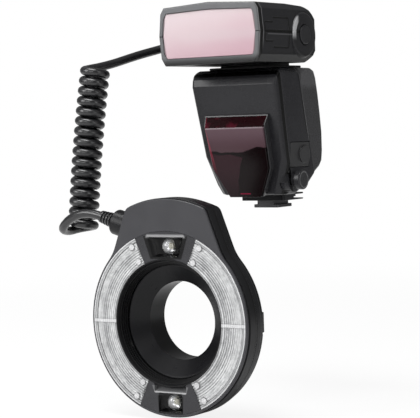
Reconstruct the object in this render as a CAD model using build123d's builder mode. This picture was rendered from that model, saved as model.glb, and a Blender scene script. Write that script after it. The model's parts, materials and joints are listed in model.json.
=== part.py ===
from build123d import *

import os
from math import cos, pi, radians, sin, sqrt, tan

# Macro ring flash: a hot-shoe controller with a tilting head, a lamp ring and a curly cord.
# Millimetres, +Z up, the front faces -Y. The origin is the middle of the shoe foot's bottom face.

os.makedirs("parts", exist_ok=True)

# Shared sizes
wall = 2.0  # moulded shell
thin_wall = 1.2  # bezels, plates and liners
overrun = 5.0  # how far a cut runs past a face
free_gap = 0.4  # air round a button or a moving skin
seat_gap = 0.05  # between still pieces that seat on curved faces
running_clearance = 0.05  # radial, shaft in bore
edge_radius = 1.0
soft_edge = 0.4

# Lamp ring: its axis lies along Y
ring_front_y = -122.0  # front face of the clear covers
ring_axis_z = -61.5
cover_outer_radius = 54.5
cover_band_width = 16.5
cover_inner_radius = cover_outer_radius - cover_band_width
rim_wall = 2.0  # rim outside the covers
rim_radius = cover_outer_radius + rim_wall
hump_rise = 17.5  # the hump's top above the round rim
hump_top_radius = rim_radius + hump_rise
hump_half_width = 29.0
hump_corner_radius = 6.0
hump_flare_radius = 26.0
front_shell_back = 10.0  # depths are measured back from ring_front_y
hump_back = 18.0
ring_back = 26.0
rear_shoulder_back = 14.0
rear_taper = 10.5
rear_taper_radius = rim_radius - rear_taper
fascia_front = 0.3
fascia_back = 1.5
fascia_inset = 0.5
groove_back = 2.6
groove_inset = 1.0
cover_thickness = 3.0
cover_half_angle = 66.0
cover_groove_count = 8
cover_groove_depth = 0.7
cover_stud_radius = 1.9
cover_stud_height = 0.4
cover_stud_angle = 61.5
channel_floor_front = 8.4
reflector_wall = 0.6
flash_tube_radius = 1.9
flash_tube_depth = 5.8
flash_tube_half_angle = 58.0
reflector_half_angle = 65.0
liner_throat_drop = 3.4
liner_throat_radius = cover_inner_radius - liner_throat_drop
liner_throat_depth = 7.4
liner_step_count = 4
adapter_drop = 4.0  # the adapter is this much smaller than the ring's bore
adapter_radius = cover_inner_radius - adapter_drop
adapter_front = 7.8
adapter_cone_back = 15.0
adapter_groove_front = 19.0
adapter_groove_width = 2.8
adapter_groove_depth = 1.6
adapter_flange_back = 26.6
lens_thread_radius = 26.0
adapter_bore_wall = 2.4
adapter_bore_radius = lens_thread_radius - adapter_bore_wall
lens_thread_length = 3.6
lens_thread_relief = 0.8
sleeve_radius = adapter_radius + running_clearance
sleeve_wall = 1.6

# Focusing lamps in the ring's top and bottom blocks
lamp_recess_depth = 4.0
lamp_top_inset = 7.1  # lamps lie this far outside the bore's edge
lamp_bottom_inset = 9.6
lamp_top_radius = cover_inner_radius + lamp_top_inset
lamp_bottom_radius = cover_inner_radius + lamp_bottom_inset
lamp_lens_radius = 4.7
lamp_lens_height = 3.4
lamp_board_thickness = 1.2
block_half_angle = 90.0 - cover_half_angle - 0.25 * edge_radius

# Release slides of the ring
slide_thickness = 2.0
slide_width = 4.0
slide_clearance = 4.4
slide_inner_radius = adapter_radius + slide_clearance
slide_outer_radius = slide_inner_radius + slide_width
slide_button_width = 12.0
slide_button_depth = 4.6
slide_button_height = 6.2
slide_button_drop = 3.1
slide_button_reach = rim_radius - slide_button_drop
slide_button_root = slide_button_reach - slide_button_height
slide_split_gap = 0.5
slide_claw_width = 7.0
slide_stem_width = 5.4

# Cord and its fittings
cord_diameter = 5.5
coil_mean_radius = 6.9
relief_tip_diameter = 7.4
relief_base_diameter = 10.0
relief_length = 11.5
relief_groove_count = 4
relief_groove_depth = 0.9
boss_diameter = 15.6
boss_length = 10.0
boss_root = 4.0
head_gland_diameter = 11.0
relief_root = 5.0

# Screws
screw_radius = 1.1
screw_head_radius = 2.1
screw_head_height = 1.2
screw_slot = 0.6

# Shares of the pieces that carry them
stud_shares = (0.18, 0.78)
hump_side_share = 0.38  # how far the hump's side spreads on its way down to the rim
screw_turn_shares = (0.09, 0.2, 0.3, 0.41, 0.63, 0.87)
recess_taper = 20.0
recess_shares = {
    "lamp_block_top": [(-0.78, 0.36), (0.78, 0.36), (0.56, -0.36), (-0.56, -0.36)],
    "lamp_block_bottom": [(-0.52, 0.33), (0.52, 0.33), (0.5, -0.36), (-0.5, -0.36)],
}
scallop_width_share = 0.3
scallop_reach = 3.0
scallop_depth = 5.0

# Cord fitting on the ring's side
boss_step = 4.0  # the fitting starts this far outside the hump's half width
boss_x = -hump_half_width - boss_step
boss_y = ring_front_y + front_shell_back
boss_z = ring_axis_z + rim_radius
boss_tilt = 15.6  # degrees above -X

# Cord route
coil_top = Vector(-80.0, -79.0, 91.3)
coil_bottom = Vector(-83.5, -92.0, -3.3)
coil_bow = 1.5
cord_top_run = 12.0
gap_spacing = 1.0  # between the points that the coil's gap is measured on
gap_skip_share = 2.5  # neighbours nearer than this many diameters aren't compared
corner_share = 0.45
cord_foot_run = 6.5
cord_relief_run = 8.0
coil_turns = 15.0
coil_first_angle = 156.0  # where the upper stretch runs in, degrees from +X seen from above
coil_lead_in = 58.0  # degrees of turn before the first left edge
coil_last_angle = 170.0
cord_upper_points = [(-44.0, -16.5, 108.5), (-56.0, -16.5, 108.5), (-67.0, -26.5, 104.4),
                     (-73.0, -43.0, 100.6)]
cord_lower_points = [(-88.6, -108.2, -7.6), (-80.5, -111.0, -1.4), (-70.6, -112.2, 2.4)]

# Controller body
body_half_width = 34.0
body_depth = 63.5
body_height = 79.5
body_front_share = 0.685  # share of the depth ahead of the foot's middle
body_front_top_y = -body_front_share * body_depth
body_back_y = body_front_top_y + body_depth
body_bottom_z = 9.0
body_split_depth = 4.5  # the front shell's thickness behind the front face
body_wall = 2.2
side_shares = [(0, 0.872), (0.018, 0.928), (0.055, 0.972), (0.13, 1), (0.761, 1), (0.836, 0.984),
               (0.887, 0.926), (0.935, 0.794), (0.973, 0.639), (1, 0.483), (0.988, 0.327),
               (0.953, 0.243), (0.871, 0.199), (0.725, 0.16), (0.509, 0), (0.249, 0)]
front_shares = [(0.9, 1), (0.99, 0.95), (1.1, 0.2), (0.7, 0), (-0.7, 0), (-1.1, 0.2), (-0.99, 0.95),
                (-0.9, 1)]
flare_plane_shares = [(0.924, 0.049, 0.862), (0.868, 0.159, 0.384), (1, 0.37, 0.994)]
chamfer_plane_shares = [(1, 0.37, 0.994), (0.954, 0.559, 0.491), (0.794, 0.935, 0.794)]
bevel_plane_shares = [(0.821, 0.187, 0.277), (0.709, 0.21, 0.17), (0.97, 0.371, 0.16)]

# Autofocus window, a wedge on the controller's front
window_height = 51.5
window_half_width = 22.6
window_top_proud = 6.6
window_bottom_proud = 5.0
window_border = 1.0
window_border_drop = 1.3
window_width_shares = [(1, 1), (0.95, 0.88), (0.91, 0.36), (0.51, 0)]
window_bevel_share = 0.885  # height where the top bevel starts
window_bevel_proud_share = 0.2

# Controller fittings
neck_y = -16.5
turntable_half_width = 27.0
turntable_half_depth = 18.0
turntable_corner = 9.0
turntable_thickness = 1.3
turntable_pivot_radius = 10.0
turntable_pivot_length = 8.0
knob_y = -20.6
knob_rise = 9.3
knob_z = body_bottom_z + knob_rise
knob_radius = 6.2
knob_face_step = 2.2  # the knob's face stands this far outside the body
knob_face_x = body_half_width + knob_face_step
knob_length = 3.8
knob_travel = 2.0
knob_collar_drop = 5.0
knob_collar_x = body_half_width - knob_collar_drop
knob_collar_wall = 1.0
rear_lean_share = 0.19
rear_plane_shares = (0.956, 0.716)
lcd_width = 42.0
lcd_height = 23.0
lcd_drop = 23.0  # the display's middle below the controller's top
lcd_z = body_bottom_z + body_height - lcd_drop
lcd_thickness = 1.2
button_width = 7.4
button_height = 3.4
button_pitch = 10.4
button_drop = 14.3  # rows lie below one another
button_z = lcd_z - button_drop
button_proud = 0.8
button_length = 2.4
button_travel = 0.8
dial_drop = 12.6
dial_z = button_z - dial_drop
dial_radius = 9.5
dial_bore_radius = 5.6
dial_sink = 4.6
dial_rise = 1.0
dial_floor_y = body_back_y - dial_sink
dial_face_y = body_back_y + dial_rise
set_button_radius = 5.1
side_control_x = 19.0
test_button_radius = 3.0
switch_width = 4.0
switch_height = 5.0
switch_travel = 4.0
door_width = 27.0
door_height = 44.0
door_thickness = 1.4
door_seat_gap = 0.15
door_middle_shares = (0.9, 0.705, 0.52)
cover_width = 20.0
cover_height = 15.5
cover_plate_thickness = 1.2
cover_middle_shares = (0.92, 0.44, 0.315)
cover_lobe_radius = 5.6
battery_radius = 7.1
battery_bottom_gap = 18.0
battery_top_gap = 11.5  # room over the batteries for the tray's lid and the turntable's pivot
battery_length = body_height - battery_top_gap - battery_bottom_gap
battery_base_z = body_bottom_z + battery_bottom_gap
battery_x = -7.5
battery_y = -8.0
board_inset = 10.0
board_x = body_half_width - board_inset
board_y = -8.0
board_z = 54.0
board_width = 24.0
board_height = 50.0
board_thickness = 1.6
capacitor_radius = 4.5
capacitor_length = 30.0
body_edge_radius = 2.4

# Hot shoe foot
foot_width = 18.6
foot_length = 18.0
foot_thickness = 2.0
foot_neck_width = 12.4
foot_collar_z = 4.6
collar_width = 32.0
collar_length = 26.0
lever_z = 5.6
lever_thickness = 2.2
lever_radius = 10.4
lever_pivot_radius = 3.0
lever_grip_width = 9.0
lever_grip_reach = 22.0
contact_radius = 0.7
contact_places = [(0, 0), (-3.6, 3.4), (3.6, 3.4), (-3.6, -3.4), (3.6, -3.4)]
lock_pin_radius = 1.0
lock_pin_y = -7.0
lock_pin_recess = 0.2

# Head and neck
pivot_rise = 20.0  # the tilt axis above the controller's top
pivot_z = body_bottom_z + body_height + pivot_rise
chassis_width_share = 1.6
barrel_radius = 16.5
barrel_half_length = 22.0
stem_half_width = 18.0
stem_half_depth = 12.5
axle_radius = 8.0
axle_drop = 5.5
head_front_y = -69.0
head_half_width = 37.0
gland_length = 6.0
head_drop = 17.0  # the head's underside below the tilt axis
head_bottom_z = pivot_z - head_drop
head_height = 38.0
head_seam_rise = 1.4
head_seam_z = pivot_z + head_seam_rise
dome_radius = 18.3
dome_cheek_radius = 7.0
head_gap = 0.7
head_wall = 2.0
bezel_depth = 3.0
panel_gap = 0.15
panel_depth = 2.4
lock_button_radius = 6.0
lock_button_proud = 1.5
lock_button_face_x = head_half_width + lock_button_proud
lock_button_length = 4.6
lock_button_travel = 1.5
head_outline_shares = [(-0.89, 0), (0.89, 0), (0.965, 0.12), (1, 0.484), (0.965, 0.85), (0.9, 0.95),
                       (0, 1), (-0.9, 0.95), (-0.965, 0.85), (-1, 0.484), (-0.965, 0.12)]
panel_outline_shares = [(-0.84, 0.115), (0.84, 0.115), (0.9, 0.2), (0.92, 0.484), (0.9, 0.76), (0.84, 0.85),
                        (0, 0.88), (-0.84, 0.85), (-0.9, 0.76), (-0.92, 0.484), (-0.9, 0.2)]



def ring_plane(depth):
    """Plane square to the ring's axis, this far behind its front face, facing forward."""
    return Plane(origin=(0, ring_front_y + depth, ring_axis_z), x_dir=(1, 0, 0), z_dir=(0, -1, 0))


def ring_section():
    """Plane through the ring's axis: X is the radius and Y the depth."""
    return Plane(origin=(0, ring_front_y, ring_axis_z), x_dir=(1, 0, 0), z_dir=(0, 0, 1))


def turned_ring_section(angle):
    """The same plane, turned about the ring's axis to start at this angle above +X."""
    a = radians(angle)
    return Plane(origin=(0, ring_front_y, ring_axis_z), x_dir=(cos(a), 0, sin(a)),
                 z_dir=(-sin(a), 0, cos(a)))


ring_axis = Axis((0, ring_front_y, ring_axis_z), (0, -1, 0))


def hump_outline(inset):
    """Closed face of the ring's front outline: a round rim that flares into the hump."""
    half = hump_half_width - inset
    top = hump_top_radius - inset
    rim = rim_radius - inset
    shoulder_z = sqrt(top * top - half * half)
    foot_x = half * (1 + hump_side_share)
    foot_z = sqrt(max(rim * rim - foot_x * foot_x, 0))
    with BuildSketch(Plane.XY) as outline:
        with BuildLine():
            Line((0, 0), (foot_x, foot_z))
            Line((foot_x, foot_z), (half, shoulder_z))
            ThreePointArc((half, shoulder_z), (0, top), (-half, shoulder_z))
            Line((-half, shoulder_z), (-foot_x, foot_z))
            Line((-foot_x, foot_z), (0, 0))
        make_face()
        Circle(rim)
        corners = outline.vertices().group_by(Axis.Y)[-1]
        fillet(corners, hump_corner_radius - inset / 2)
        joins = [v for v in outline.vertices() if abs(v.X) > foot_x - edge_radius and v.Y > 0]
        fillet(joins, hump_flare_radius + inset)
    return outline.sketch


def save(builder, label):
    """Label a finished sub-part and write its STEP file."""
    builder.part.label = label
    export_step(builder.part, "parts/" + label + ".step")


def boss_plane(reach):
    """Plane across the ring's cord fitting, this far out along its axis, facing outwards."""
    a = radians(boss_tilt)
    origin = (boss_x - reach * cos(a), boss_y, boss_z + reach * sin(a))
    return Plane(origin=origin, x_dir=(0, 1, 0), z_dir=(-cos(a), 0, sin(a)))


def ring_screw_places():
    """Places of the ring's rear screws as angle shares of a full turn."""
    radius = (slide_outer_radius + rear_taper_radius + wall) / 2
    return [(radius * cos(2 * pi * t), radius * sin(2 * pi * t)) for t in screw_turn_shares]


# Lamp ring: shells
def build_ring_front_shell():
    channel_outer = cover_outer_radius + seat_gap
    with BuildPart() as ring_front_shell:
        with BuildSketch(ring_plane(groove_back)):
            add(hump_outline(0))
        extrude(amount=groove_back - front_shell_back)
        with BuildSketch(ring_plane(fascia_back)):
            add(hump_outline(groove_inset))
        extrude(amount=fascia_back - groove_back)
        with BuildSketch(ring_plane(0)):
            Circle(channel_outer)
        extrude(amount=-channel_floor_front, mode=Mode.SUBTRACT)
        with BuildSketch(ring_plane(0)):
            Circle(cover_inner_radius + seat_gap)
        extrude(amount=-front_shell_back - overrun, mode=Mode.SUBTRACT)
        with BuildSketch(ring_plane(fascia_back + thin_wall)):
            add(hump_outline(wall))
            Circle(rim_radius, mode=Mode.SUBTRACT)
        extrude(amount=-front_shell_back, mode=Mode.SUBTRACT)
        with BuildSketch(boss_plane(-boss_root)):
            Circle(boss_diameter / 2 + seat_gap)
        extrude(amount=boss_length + boss_root + overrun, mode=Mode.SUBTRACT)
    save(ring_front_shell, "ring_front_shell")


def build_ring_fascia():
    with BuildPart() as ring_fascia:
        with BuildSketch(ring_plane(fascia_front)):
            add(hump_outline(fascia_inset))
            Circle(cover_outer_radius + seat_gap, mode=Mode.SUBTRACT)
        extrude(amount=fascia_front - fascia_back)
        rims = ring_fascia.faces().sort_by(Axis.Y)[0].outer_wire().edges()
        chamfer(rims, soft_edge)
    save(ring_fascia, "ring_fascia")


def slide_front():
    return adapter_groove_front + (adapter_groove_width - slide_thickness) / 2


def build_ring_rear_shell():
    sleeve_outer = sleeve_radius + sleeve_wall
    back_plate = wall
    claw_slot = slide_claw_width + 2 * free_gap
    window_width = slide_button_width + 2 * free_gap
    window_depth = slide_button_depth + 2 * free_gap
    slide_middle = slide_front() + slide_thickness / 2
    claw_middle = slide_split_gap + slide_claw_width / 2
    with BuildPart() as ring_rear_shell:
        with BuildSketch(ring_plane(front_shell_back)):
            add(hump_outline(0))
        extrude(amount=front_shell_back - rear_shoulder_back)
        with BuildSketch(ring_plane(rear_shoulder_back)):
            add(hump_outline(edge_radius))
        extrude(amount=rear_shoulder_back - hump_back)
        with BuildSketch(ring_section()):
            Polygon((0, front_shell_back), (rim_radius, front_shell_back), (rim_radius, rear_shoulder_back),
                    (rear_taper_radius, ring_back), (0, ring_back), align=None)
        revolve(axis=ring_axis)
        # hollow: the ring's hold with its slides, and the hump's
        with BuildSketch(ring_section()):
            Polygon((sleeve_outer, front_shell_back), (rim_radius - wall, front_shell_back),
                    (rim_radius - wall, rear_shoulder_back),
                    (rear_taper_radius - wall / 2, ring_back - back_plate),
                    (sleeve_outer, ring_back - back_plate), align=None)
        revolve(axis=ring_axis, mode=Mode.SUBTRACT)
        with BuildSketch(ring_plane(front_shell_back)):
            add(hump_outline(wall + edge_radius))
            Circle(rear_taper_radius, mode=Mode.SUBTRACT)
        extrude(amount=front_shell_back + wall - hump_back, mode=Mode.SUBTRACT)
        with BuildSketch(ring_plane(front_shell_back)):
            Circle(sleeve_radius)
        extrude(amount=-ring_back, mode=Mode.SUBTRACT)
        # windows for the buttons, slots for the claws
        for side in (1, -1):
            with BuildSketch(Plane(origin=(0, ring_front_y + slide_middle, ring_axis_z),
                                   x_dir=(0, 1, 0), z_dir=(side, 0, 0)).offset(slide_outer_radius)):
                Rectangle(window_depth, window_width)
            extrude(amount=slide_button_reach, mode=Mode.SUBTRACT)
            with BuildSketch(Plane(origin=(0, ring_front_y + slide_middle, ring_axis_z - side * claw_middle),
                                   x_dir=(0, 1, 0), z_dir=(side, 0, 0)).offset(sleeve_radius / 2)):
                Rectangle(slide_thickness + 2 * free_gap, claw_slot)
            extrude(amount=slide_inner_radius - sleeve_radius / 2, mode=Mode.SUBTRACT)
        with BuildSketch(boss_plane(-boss_root)):
            Circle(boss_diameter / 2 + seat_gap)
        extrude(amount=boss_length + boss_root + overrun, mode=Mode.SUBTRACT)
        with BuildSketch(ring_plane(ring_back + overrun)):
            with Locations(*ring_screw_places()):
                Circle(screw_head_radius + seat_gap)
        extrude(amount=overrun + screw_head_height, mode=Mode.SUBTRACT)
        with BuildSketch(ring_plane(ring_back)):
            with Locations(*ring_screw_places()):
                Circle(screw_radius + seat_gap)
        extrude(amount=2 * wall, mode=Mode.SUBTRACT)
    save(ring_rear_shell, "ring_rear_shell")


def build_ring_screws():
    with BuildPart() as ring_screws:
        with BuildSketch(ring_plane(ring_back)):
            with Locations(*ring_screw_places()):
                Circle(screw_head_radius)
        extrude(amount=screw_head_height)
        with BuildSketch(ring_plane(ring_back)):
            with Locations(*ring_screw_places()):
                Circle(screw_radius)
        extrude(amount=2 * wall)
        with BuildSketch(ring_plane(ring_back)):
            with Locations(*ring_screw_places()):
                Rectangle(screw_head_radius, screw_slot)
                Rectangle(screw_slot, screw_head_radius)
        extrude(amount=screw_head_height / 2, mode=Mode.SUBTRACT)
    save(ring_screws, "ring_screws")


def build_bore_liner():
    outer = cover_inner_radius - seat_gap
    step = (liner_throat_depth - fascia_front) / (liner_step_count + 1)
    drop = (outer - thin_wall - liner_throat_radius) / liner_step_count
    groove = drop / 2
    points = [(outer, fascia_front), (outer - thin_wall / 2, fascia_front)]
    radius = outer - thin_wall
    depth = fascia_front + step
    points.append((radius, depth))
    for _ in range(liner_step_count):
        points += [(radius, depth + step / 2), (radius - drop - groove, depth + step / 2),
                   (radius - drop, depth + step)]
        depth += step
        radius -= drop
    points += [(radius, liner_throat_depth + thin_wall / 2), (outer, liner_throat_depth + thin_wall / 2)]
    with BuildPart() as bore_liner:
        with BuildSketch(ring_section()):
            Polygon(*points, align=None)
        revolve(axis=ring_axis)
    save(bore_liner, "bore_liner")


# Lamp ring: lamps under their covers
def arc_sweep(profile, middle, half_angle):
    """Turn a profile in (radius, depth) about the ring's axis, half_angle each side of middle."""
    with BuildPart() as swept:
        with BuildSketch(turned_ring_section(middle - half_angle)):
            Polygon(*profile, align=None)
        revolve(axis=Axis((0, ring_front_y, ring_axis_z), (0, -1, 0)), revolution_arc=2 * half_angle)
    return swept.part


def cover_profile():
    """Comb section of a clear cover: fine ribs run round its front face."""
    inner = cover_inner_radius + seat_gap
    outer = cover_outer_radius - seat_gap
    land = (outer - inner) / (cover_groove_count + 2)
    points = [(inner, cover_thickness), (inner, 0), (inner + land, 0)]
    for i in range(cover_groove_count):
        r = inner + land * (i + 1)
        points += [(r + land / 2, cover_groove_depth), (r + land, 0)]
    points += [(outer, 0), (outer, cover_thickness)]
    return points


def build_covers():
    stud_radii = [cover_inner_radius + s * (cover_outer_radius - cover_inner_radius) for s in stud_shares]
    bar_half = cover_stud_radius / 2
    for name, middle in (("cover_right", 0), ("cover_left", 180)):
        with BuildPart() as cover:
            add(arc_sweep(cover_profile(), middle, cover_half_angle))
            with BuildSketch(ring_plane(cover_groove_depth)):
                for side in (1, -1):
                    a = radians(middle + side * cover_stud_angle)
                    with Locations(*[(r * cos(a), r * sin(a)) for r in stud_radii]):
                        Circle(cover_stud_radius)
            extrude(amount=cover_groove_depth + cover_stud_height)
            with BuildSketch(ring_plane(cover_groove_depth)):
                with Locations(((cover_inner_radius + cover_outer_radius) / 2 * cos(radians(middle)), 0)):
                    Rectangle(cover_outer_radius - cover_inner_radius - 4 * seat_gap, 2 * bar_half)
            extrude(amount=cover_groove_depth)
        save(cover, name)


def build_flash_tubes():
    middle_radius = (cover_inner_radius + cover_outer_radius) / 2
    for name, middle in (("flash_tube_right", 0), ("flash_tube_left", 180)):
        with BuildPart() as flash_tube:
            with BuildSketch(turned_ring_section(middle - flash_tube_half_angle)):
                with Locations((middle_radius, flash_tube_depth)):
                    Circle(flash_tube_radius)
            revolve(axis=ring_axis, revolution_arc=2 * flash_tube_half_angle)
        save(flash_tube, name)


def build_reflectors():
    inner = cover_inner_radius + 2 * seat_gap
    outer = cover_outer_radius - 2 * seat_gap
    front = cover_thickness + seat_gap
    back = channel_floor_front
    fold = (outer - inner) / 4
    profile = [(inner, front), (inner + reflector_wall, front), (inner + fold, back - reflector_wall),
               (outer - fold, back - reflector_wall), (outer - reflector_wall, front), (outer, front),
               (outer - fold + reflector_wall, back), (inner + fold - reflector_wall, back)]
    for name, middle in (("reflector_right", 0), ("reflector_left", 180)):
        with BuildPart() as reflector:
            add(arc_sweep(profile, middle, reflector_half_angle))
        save(reflector, name)


def lamp_block(name, side, lamp_radius):
    """Block between the covers: a sunk trapezium with the focusing lamp's opening."""
    inner = cover_inner_radius + 2 * seat_gap
    outer = cover_outer_radius - 2 * seat_gap
    middle = 90 * side
    depth = cover_outer_radius - cover_inner_radius
    with BuildPart() as block:
        add(arc_sweep([(inner, fascia_front), (outer, fascia_front), (outer, channel_floor_front),
                       (inner, channel_floor_front)], middle, block_half_angle))
        with BuildSketch(ring_plane(fascia_front)):
            points = [(x * depth, side * (lamp_radius + y * depth)) for x, y in recess_shares[name]]
            Polygon(*points, align=None)
        extrude(amount=-lamp_recess_depth, taper=recess_taper, mode=Mode.SUBTRACT)
        with BuildSketch(ring_plane(0)):
            with Locations((0, side * lamp_radius)):
                Circle(lamp_lens_radius + seat_gap)
        extrude(amount=-channel_floor_front - overrun, mode=Mode.SUBTRACT)
        if side < 0:
            half = cover_inner_radius * scallop_width_share
            with BuildSketch(Plane.YZ.offset(-half)):
                start, end = ring_front_y - overrun, ring_front_y + scallop_depth
                inner_z = ring_axis_z - inner
                Polygon((start, ring_axis_z), (start, inner_z - scallop_reach),
                        (ring_front_y + fascia_front, inner_z - scallop_reach),
                        (end, inner_z), (end, ring_axis_z), align=None)
            extrude(amount=2 * half, mode=Mode.SUBTRACT)
    save(block, name)


def build_lamp_blocks():
    lamp_block("lamp_block_top", 1, lamp_top_radius)
    lamp_block("lamp_block_bottom", -1, lamp_bottom_radius)


def build_lamp_lenses():
    back = channel_floor_front - lamp_board_thickness - seat_gap
    base = lamp_recess_depth + fascia_front
    sphere_radius = (lamp_lens_radius**2 + lamp_lens_height**2) / (2 * lamp_lens_height)
    for name, z in (("lamp_lens_top", lamp_top_radius), ("lamp_lens_bottom", -lamp_bottom_radius)):
        with BuildPart() as lens:
            level = Plane(origin=(0, ring_front_y, ring_axis_z + z), x_dir=(1, 0, 0), z_dir=(0, 0, 1))
            with BuildSketch(level):
                with BuildLine():
                    Line((0, back), (lamp_lens_radius, back))
                    Line((lamp_lens_radius, back), (lamp_lens_radius, base))
                    RadiusArc((lamp_lens_radius, base), (0, base - lamp_lens_height), sphere_radius)
                    Line((0, base - lamp_lens_height), (0, back))
                make_face()
            revolve(axis=Axis((0, ring_front_y, ring_axis_z + z), (0, 1, 0)))
        save(lens, name)


def build_lamp_boards():
    for name, z in (("lamp_board_top", lamp_top_radius), ("lamp_board_bottom", -lamp_bottom_radius)):
        with BuildPart() as board:
            with BuildSketch(ring_plane(channel_floor_front - lamp_board_thickness)):
                with Locations((0, z)):
                    Circle(lamp_lens_radius)
            extrude(amount=-lamp_board_thickness + seat_gap)
        save(board, name)


# Lamp ring: release slides, lens adapter, cord fittings
def build_release_slides():
    front = slide_front()
    claw_tip = adapter_radius - adapter_groove_depth + free_gap
    stem_end = slide_button_root + wall
    for name, side in (("release_slide_right", 1), ("release_slide_left", -1)):
        with BuildPart() as release_slide:
            with BuildSketch(ring_plane(front)):
                Circle(slide_outer_radius)
                Circle(slide_inner_radius, mode=Mode.SUBTRACT)
                with Locations((0, side * slide_split_gap)):
                    Rectangle(4 * slide_outer_radius, 2 * slide_outer_radius, mode=Mode.INTERSECT,
                              align=(Align.CENTER, Align.MIN if side > 0 else Align.MAX))
                reach = stem_end - slide_inner_radius
                with Locations((side * (slide_inner_radius + reach / 2),
                                side * (slide_split_gap + slide_stem_width / 2))):
                    Rectangle(reach, slide_stem_width)
                grip = slide_inner_radius + thin_wall - claw_tip
                pad = (-side * (claw_tip + grip / 2), side * (slide_split_gap + slide_claw_width / 2))
                with Locations(pad):
                    Rectangle(grip, slide_claw_width)
            extrude(amount=-slide_thickness)
            button_front = front + slide_thickness / 2 - slide_button_depth / 2
            with BuildSketch(ring_plane(button_front)):
                length = slide_button_reach - slide_button_root
                with Locations((side * (slide_button_root + length / 2), 0)):
                    Rectangle(length, slide_button_width)
            extrude(amount=-slide_button_depth)
            outer = release_slide.faces().filter_by(Axis.X).sort_by(Axis.X)[-1 if side > 0 else 0]
            fillet(outer.edges(), edge_radius)
        save(release_slide, name)


def build_adapter_ring():
    groove_inner = adapter_radius - adapter_groove_depth
    groove_back = adapter_groove_front + adapter_groove_width
    thread_back = adapter_flange_back + lens_thread_length
    rear_rim = adapter_radius - adapter_groove_depth - wall
    rear_hub = lens_thread_radius + lens_thread_relief
    with BuildPart() as adapter_ring:
        with BuildSketch(ring_section()):
            Polygon((adapter_radius, adapter_front), (adapter_radius, adapter_groove_front),
                    (groove_inner, adapter_groove_front), (groove_inner, groove_back),
                    (adapter_radius, groove_back), (adapter_radius, adapter_flange_back),
                    (rear_rim, adapter_flange_back), (rear_rim, adapter_groove_front),
                    (rear_hub, adapter_groove_front), (rear_hub, adapter_flange_back),
                    (lens_thread_radius, adapter_flange_back), (lens_thread_radius, thread_back),
                    (adapter_bore_radius, thread_back), (adapter_bore_radius, adapter_cone_back),
                    (adapter_radius - lens_thread_relief, adapter_front), align=None)
        revolve(axis=ring_axis)
    save(adapter_ring, "adapter_ring")


def build_cord_boss():
    with BuildPart() as cord_boss:
        with BuildSketch(boss_plane(-boss_root + seat_gap)):
            Circle(boss_diameter / 2)
        extrude(amount=boss_root + boss_length - seat_gap)
        fillet(cord_boss.edges().filter_by(GeomType.CIRCLE).sort_by(Axis.X)[0], edge_radius)
        with BuildSketch(boss_plane(boss_length)):
            Circle(cord_diameter / 2 + seat_gap)
        extrude(amount=-relief_root - seat_gap, mode=Mode.SUBTRACT)
    save(cord_boss, "cord_boss")


def build_strain_relief():
    tip = relief_tip_diameter / 2
    base = relief_base_diameter / 2
    section = Plane(origin=boss_plane(boss_length).origin, x_dir=(0, 1, 0), z_dir=boss_plane(0).y_dir)
    outward = boss_plane(0).z_dir.dot(section.y_dir)
    pitch = relief_length / (relief_groove_count + 1)
    points = [(0, 0), (base, 0)]
    for i in range(relief_groove_count):
        s = pitch * (i + 1)
        r = base + (tip - base) * s / relief_length
        points += [(r, s - pitch / 3), (r - relief_groove_depth, s - pitch / 4),
                   (r - relief_groove_depth, s), (r, s + pitch / 12)]
    points += [(tip, relief_length), (0, relief_length)]
    with BuildPart() as strain_relief:
        with BuildSketch(section):
            Polygon(*[(r, outward * s) for r, s in points], align=None)
        revolve(axis=Axis(boss_plane(boss_length).origin, boss_plane(boss_length).z_dir))
        with BuildSketch(boss_plane(boss_length)):
            Circle(cord_diameter / 2)
        extrude(amount=-relief_root)
    save(strain_relief, "strain_relief")


# Cord
def coil_point(turn):
    """Centre of the wire after this many turns, wound clockwise downwards seen from below."""
    lead = coil_lead_in / 360
    share = (turn - lead) / coil_turns
    axis_point = coil_top + (coil_bottom - coil_top) * share
    bow = 4 * coil_bow * share * (1 - share)
    angle = radians(coil_first_angle) + 2 * pi * turn
    return Vector(axis_point.X + coil_mean_radius * cos(angle),
                  axis_point.Y - bow + coil_mean_radius * sin(angle), axis_point.Z)


def coil_direction(turn):
    step = 1 / 2000
    return (coil_point(turn + step) - coil_point(turn - step)).normalized()


def biarc_joint(start, start_dir, end, end_dir):
    """Where the two arcs from start to end meet, and their direction there."""
    v = end - start
    t = start_dir + end_dir
    a = 2 * (1 - start_dir.dot(end_dir))
    b = 2 * v.dot(t)
    d = (sqrt(b * b + 4 * a * v.dot(v)) - b) / (2 * a)
    first_corner = start + start_dir * d
    second_corner = end - end_dir * d
    return (first_corner + second_corner) * 0.5, (second_corner - first_corner).normalized()


def coil_stations():
    """Quarter turns of the coil from its top to its bottom."""
    total = coil_turns + 1 + (coil_last_angle - coil_first_angle) / 360
    count = round(4 * total)
    return [total * i / count for i in range(count + 1)]


def coil_wire():
    """Helix of quarter-turn biarcs with a straight end of one cord diameter at each side."""
    stations = [(coil_point(t), coil_direction(t)) for t in coil_stations()]
    first, first_dir = stations[0]
    last, last_dir = stations[-1]
    with BuildLine() as line:
        Line(first - first_dir * cord_diameter, first)
        for (p, d), (q, e) in zip(stations, stations[1:]):
            joint, joint_dir = biarc_joint(p, d, q, e)
            TangentArc(p, joint, tangent=d)
            TangentArc(joint, q, tangent=joint_dir)
        Line(last, last + last_dir * cord_diameter)
    return line.wire()


def least_gap(wire, diameter, spacing):
    """Least gap of a tube to itself, measured between points of its centre line."""
    count = int(wire.length / spacing)
    points = [wire @ (i / count) for i in range(count + 1)]
    skip = int(gap_skip_share * diameter / spacing)
    least = min((points[i] - points[j]).length for i in range(len(points))
                for j in range(i + skip, len(points)))
    return least - diameter


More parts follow.
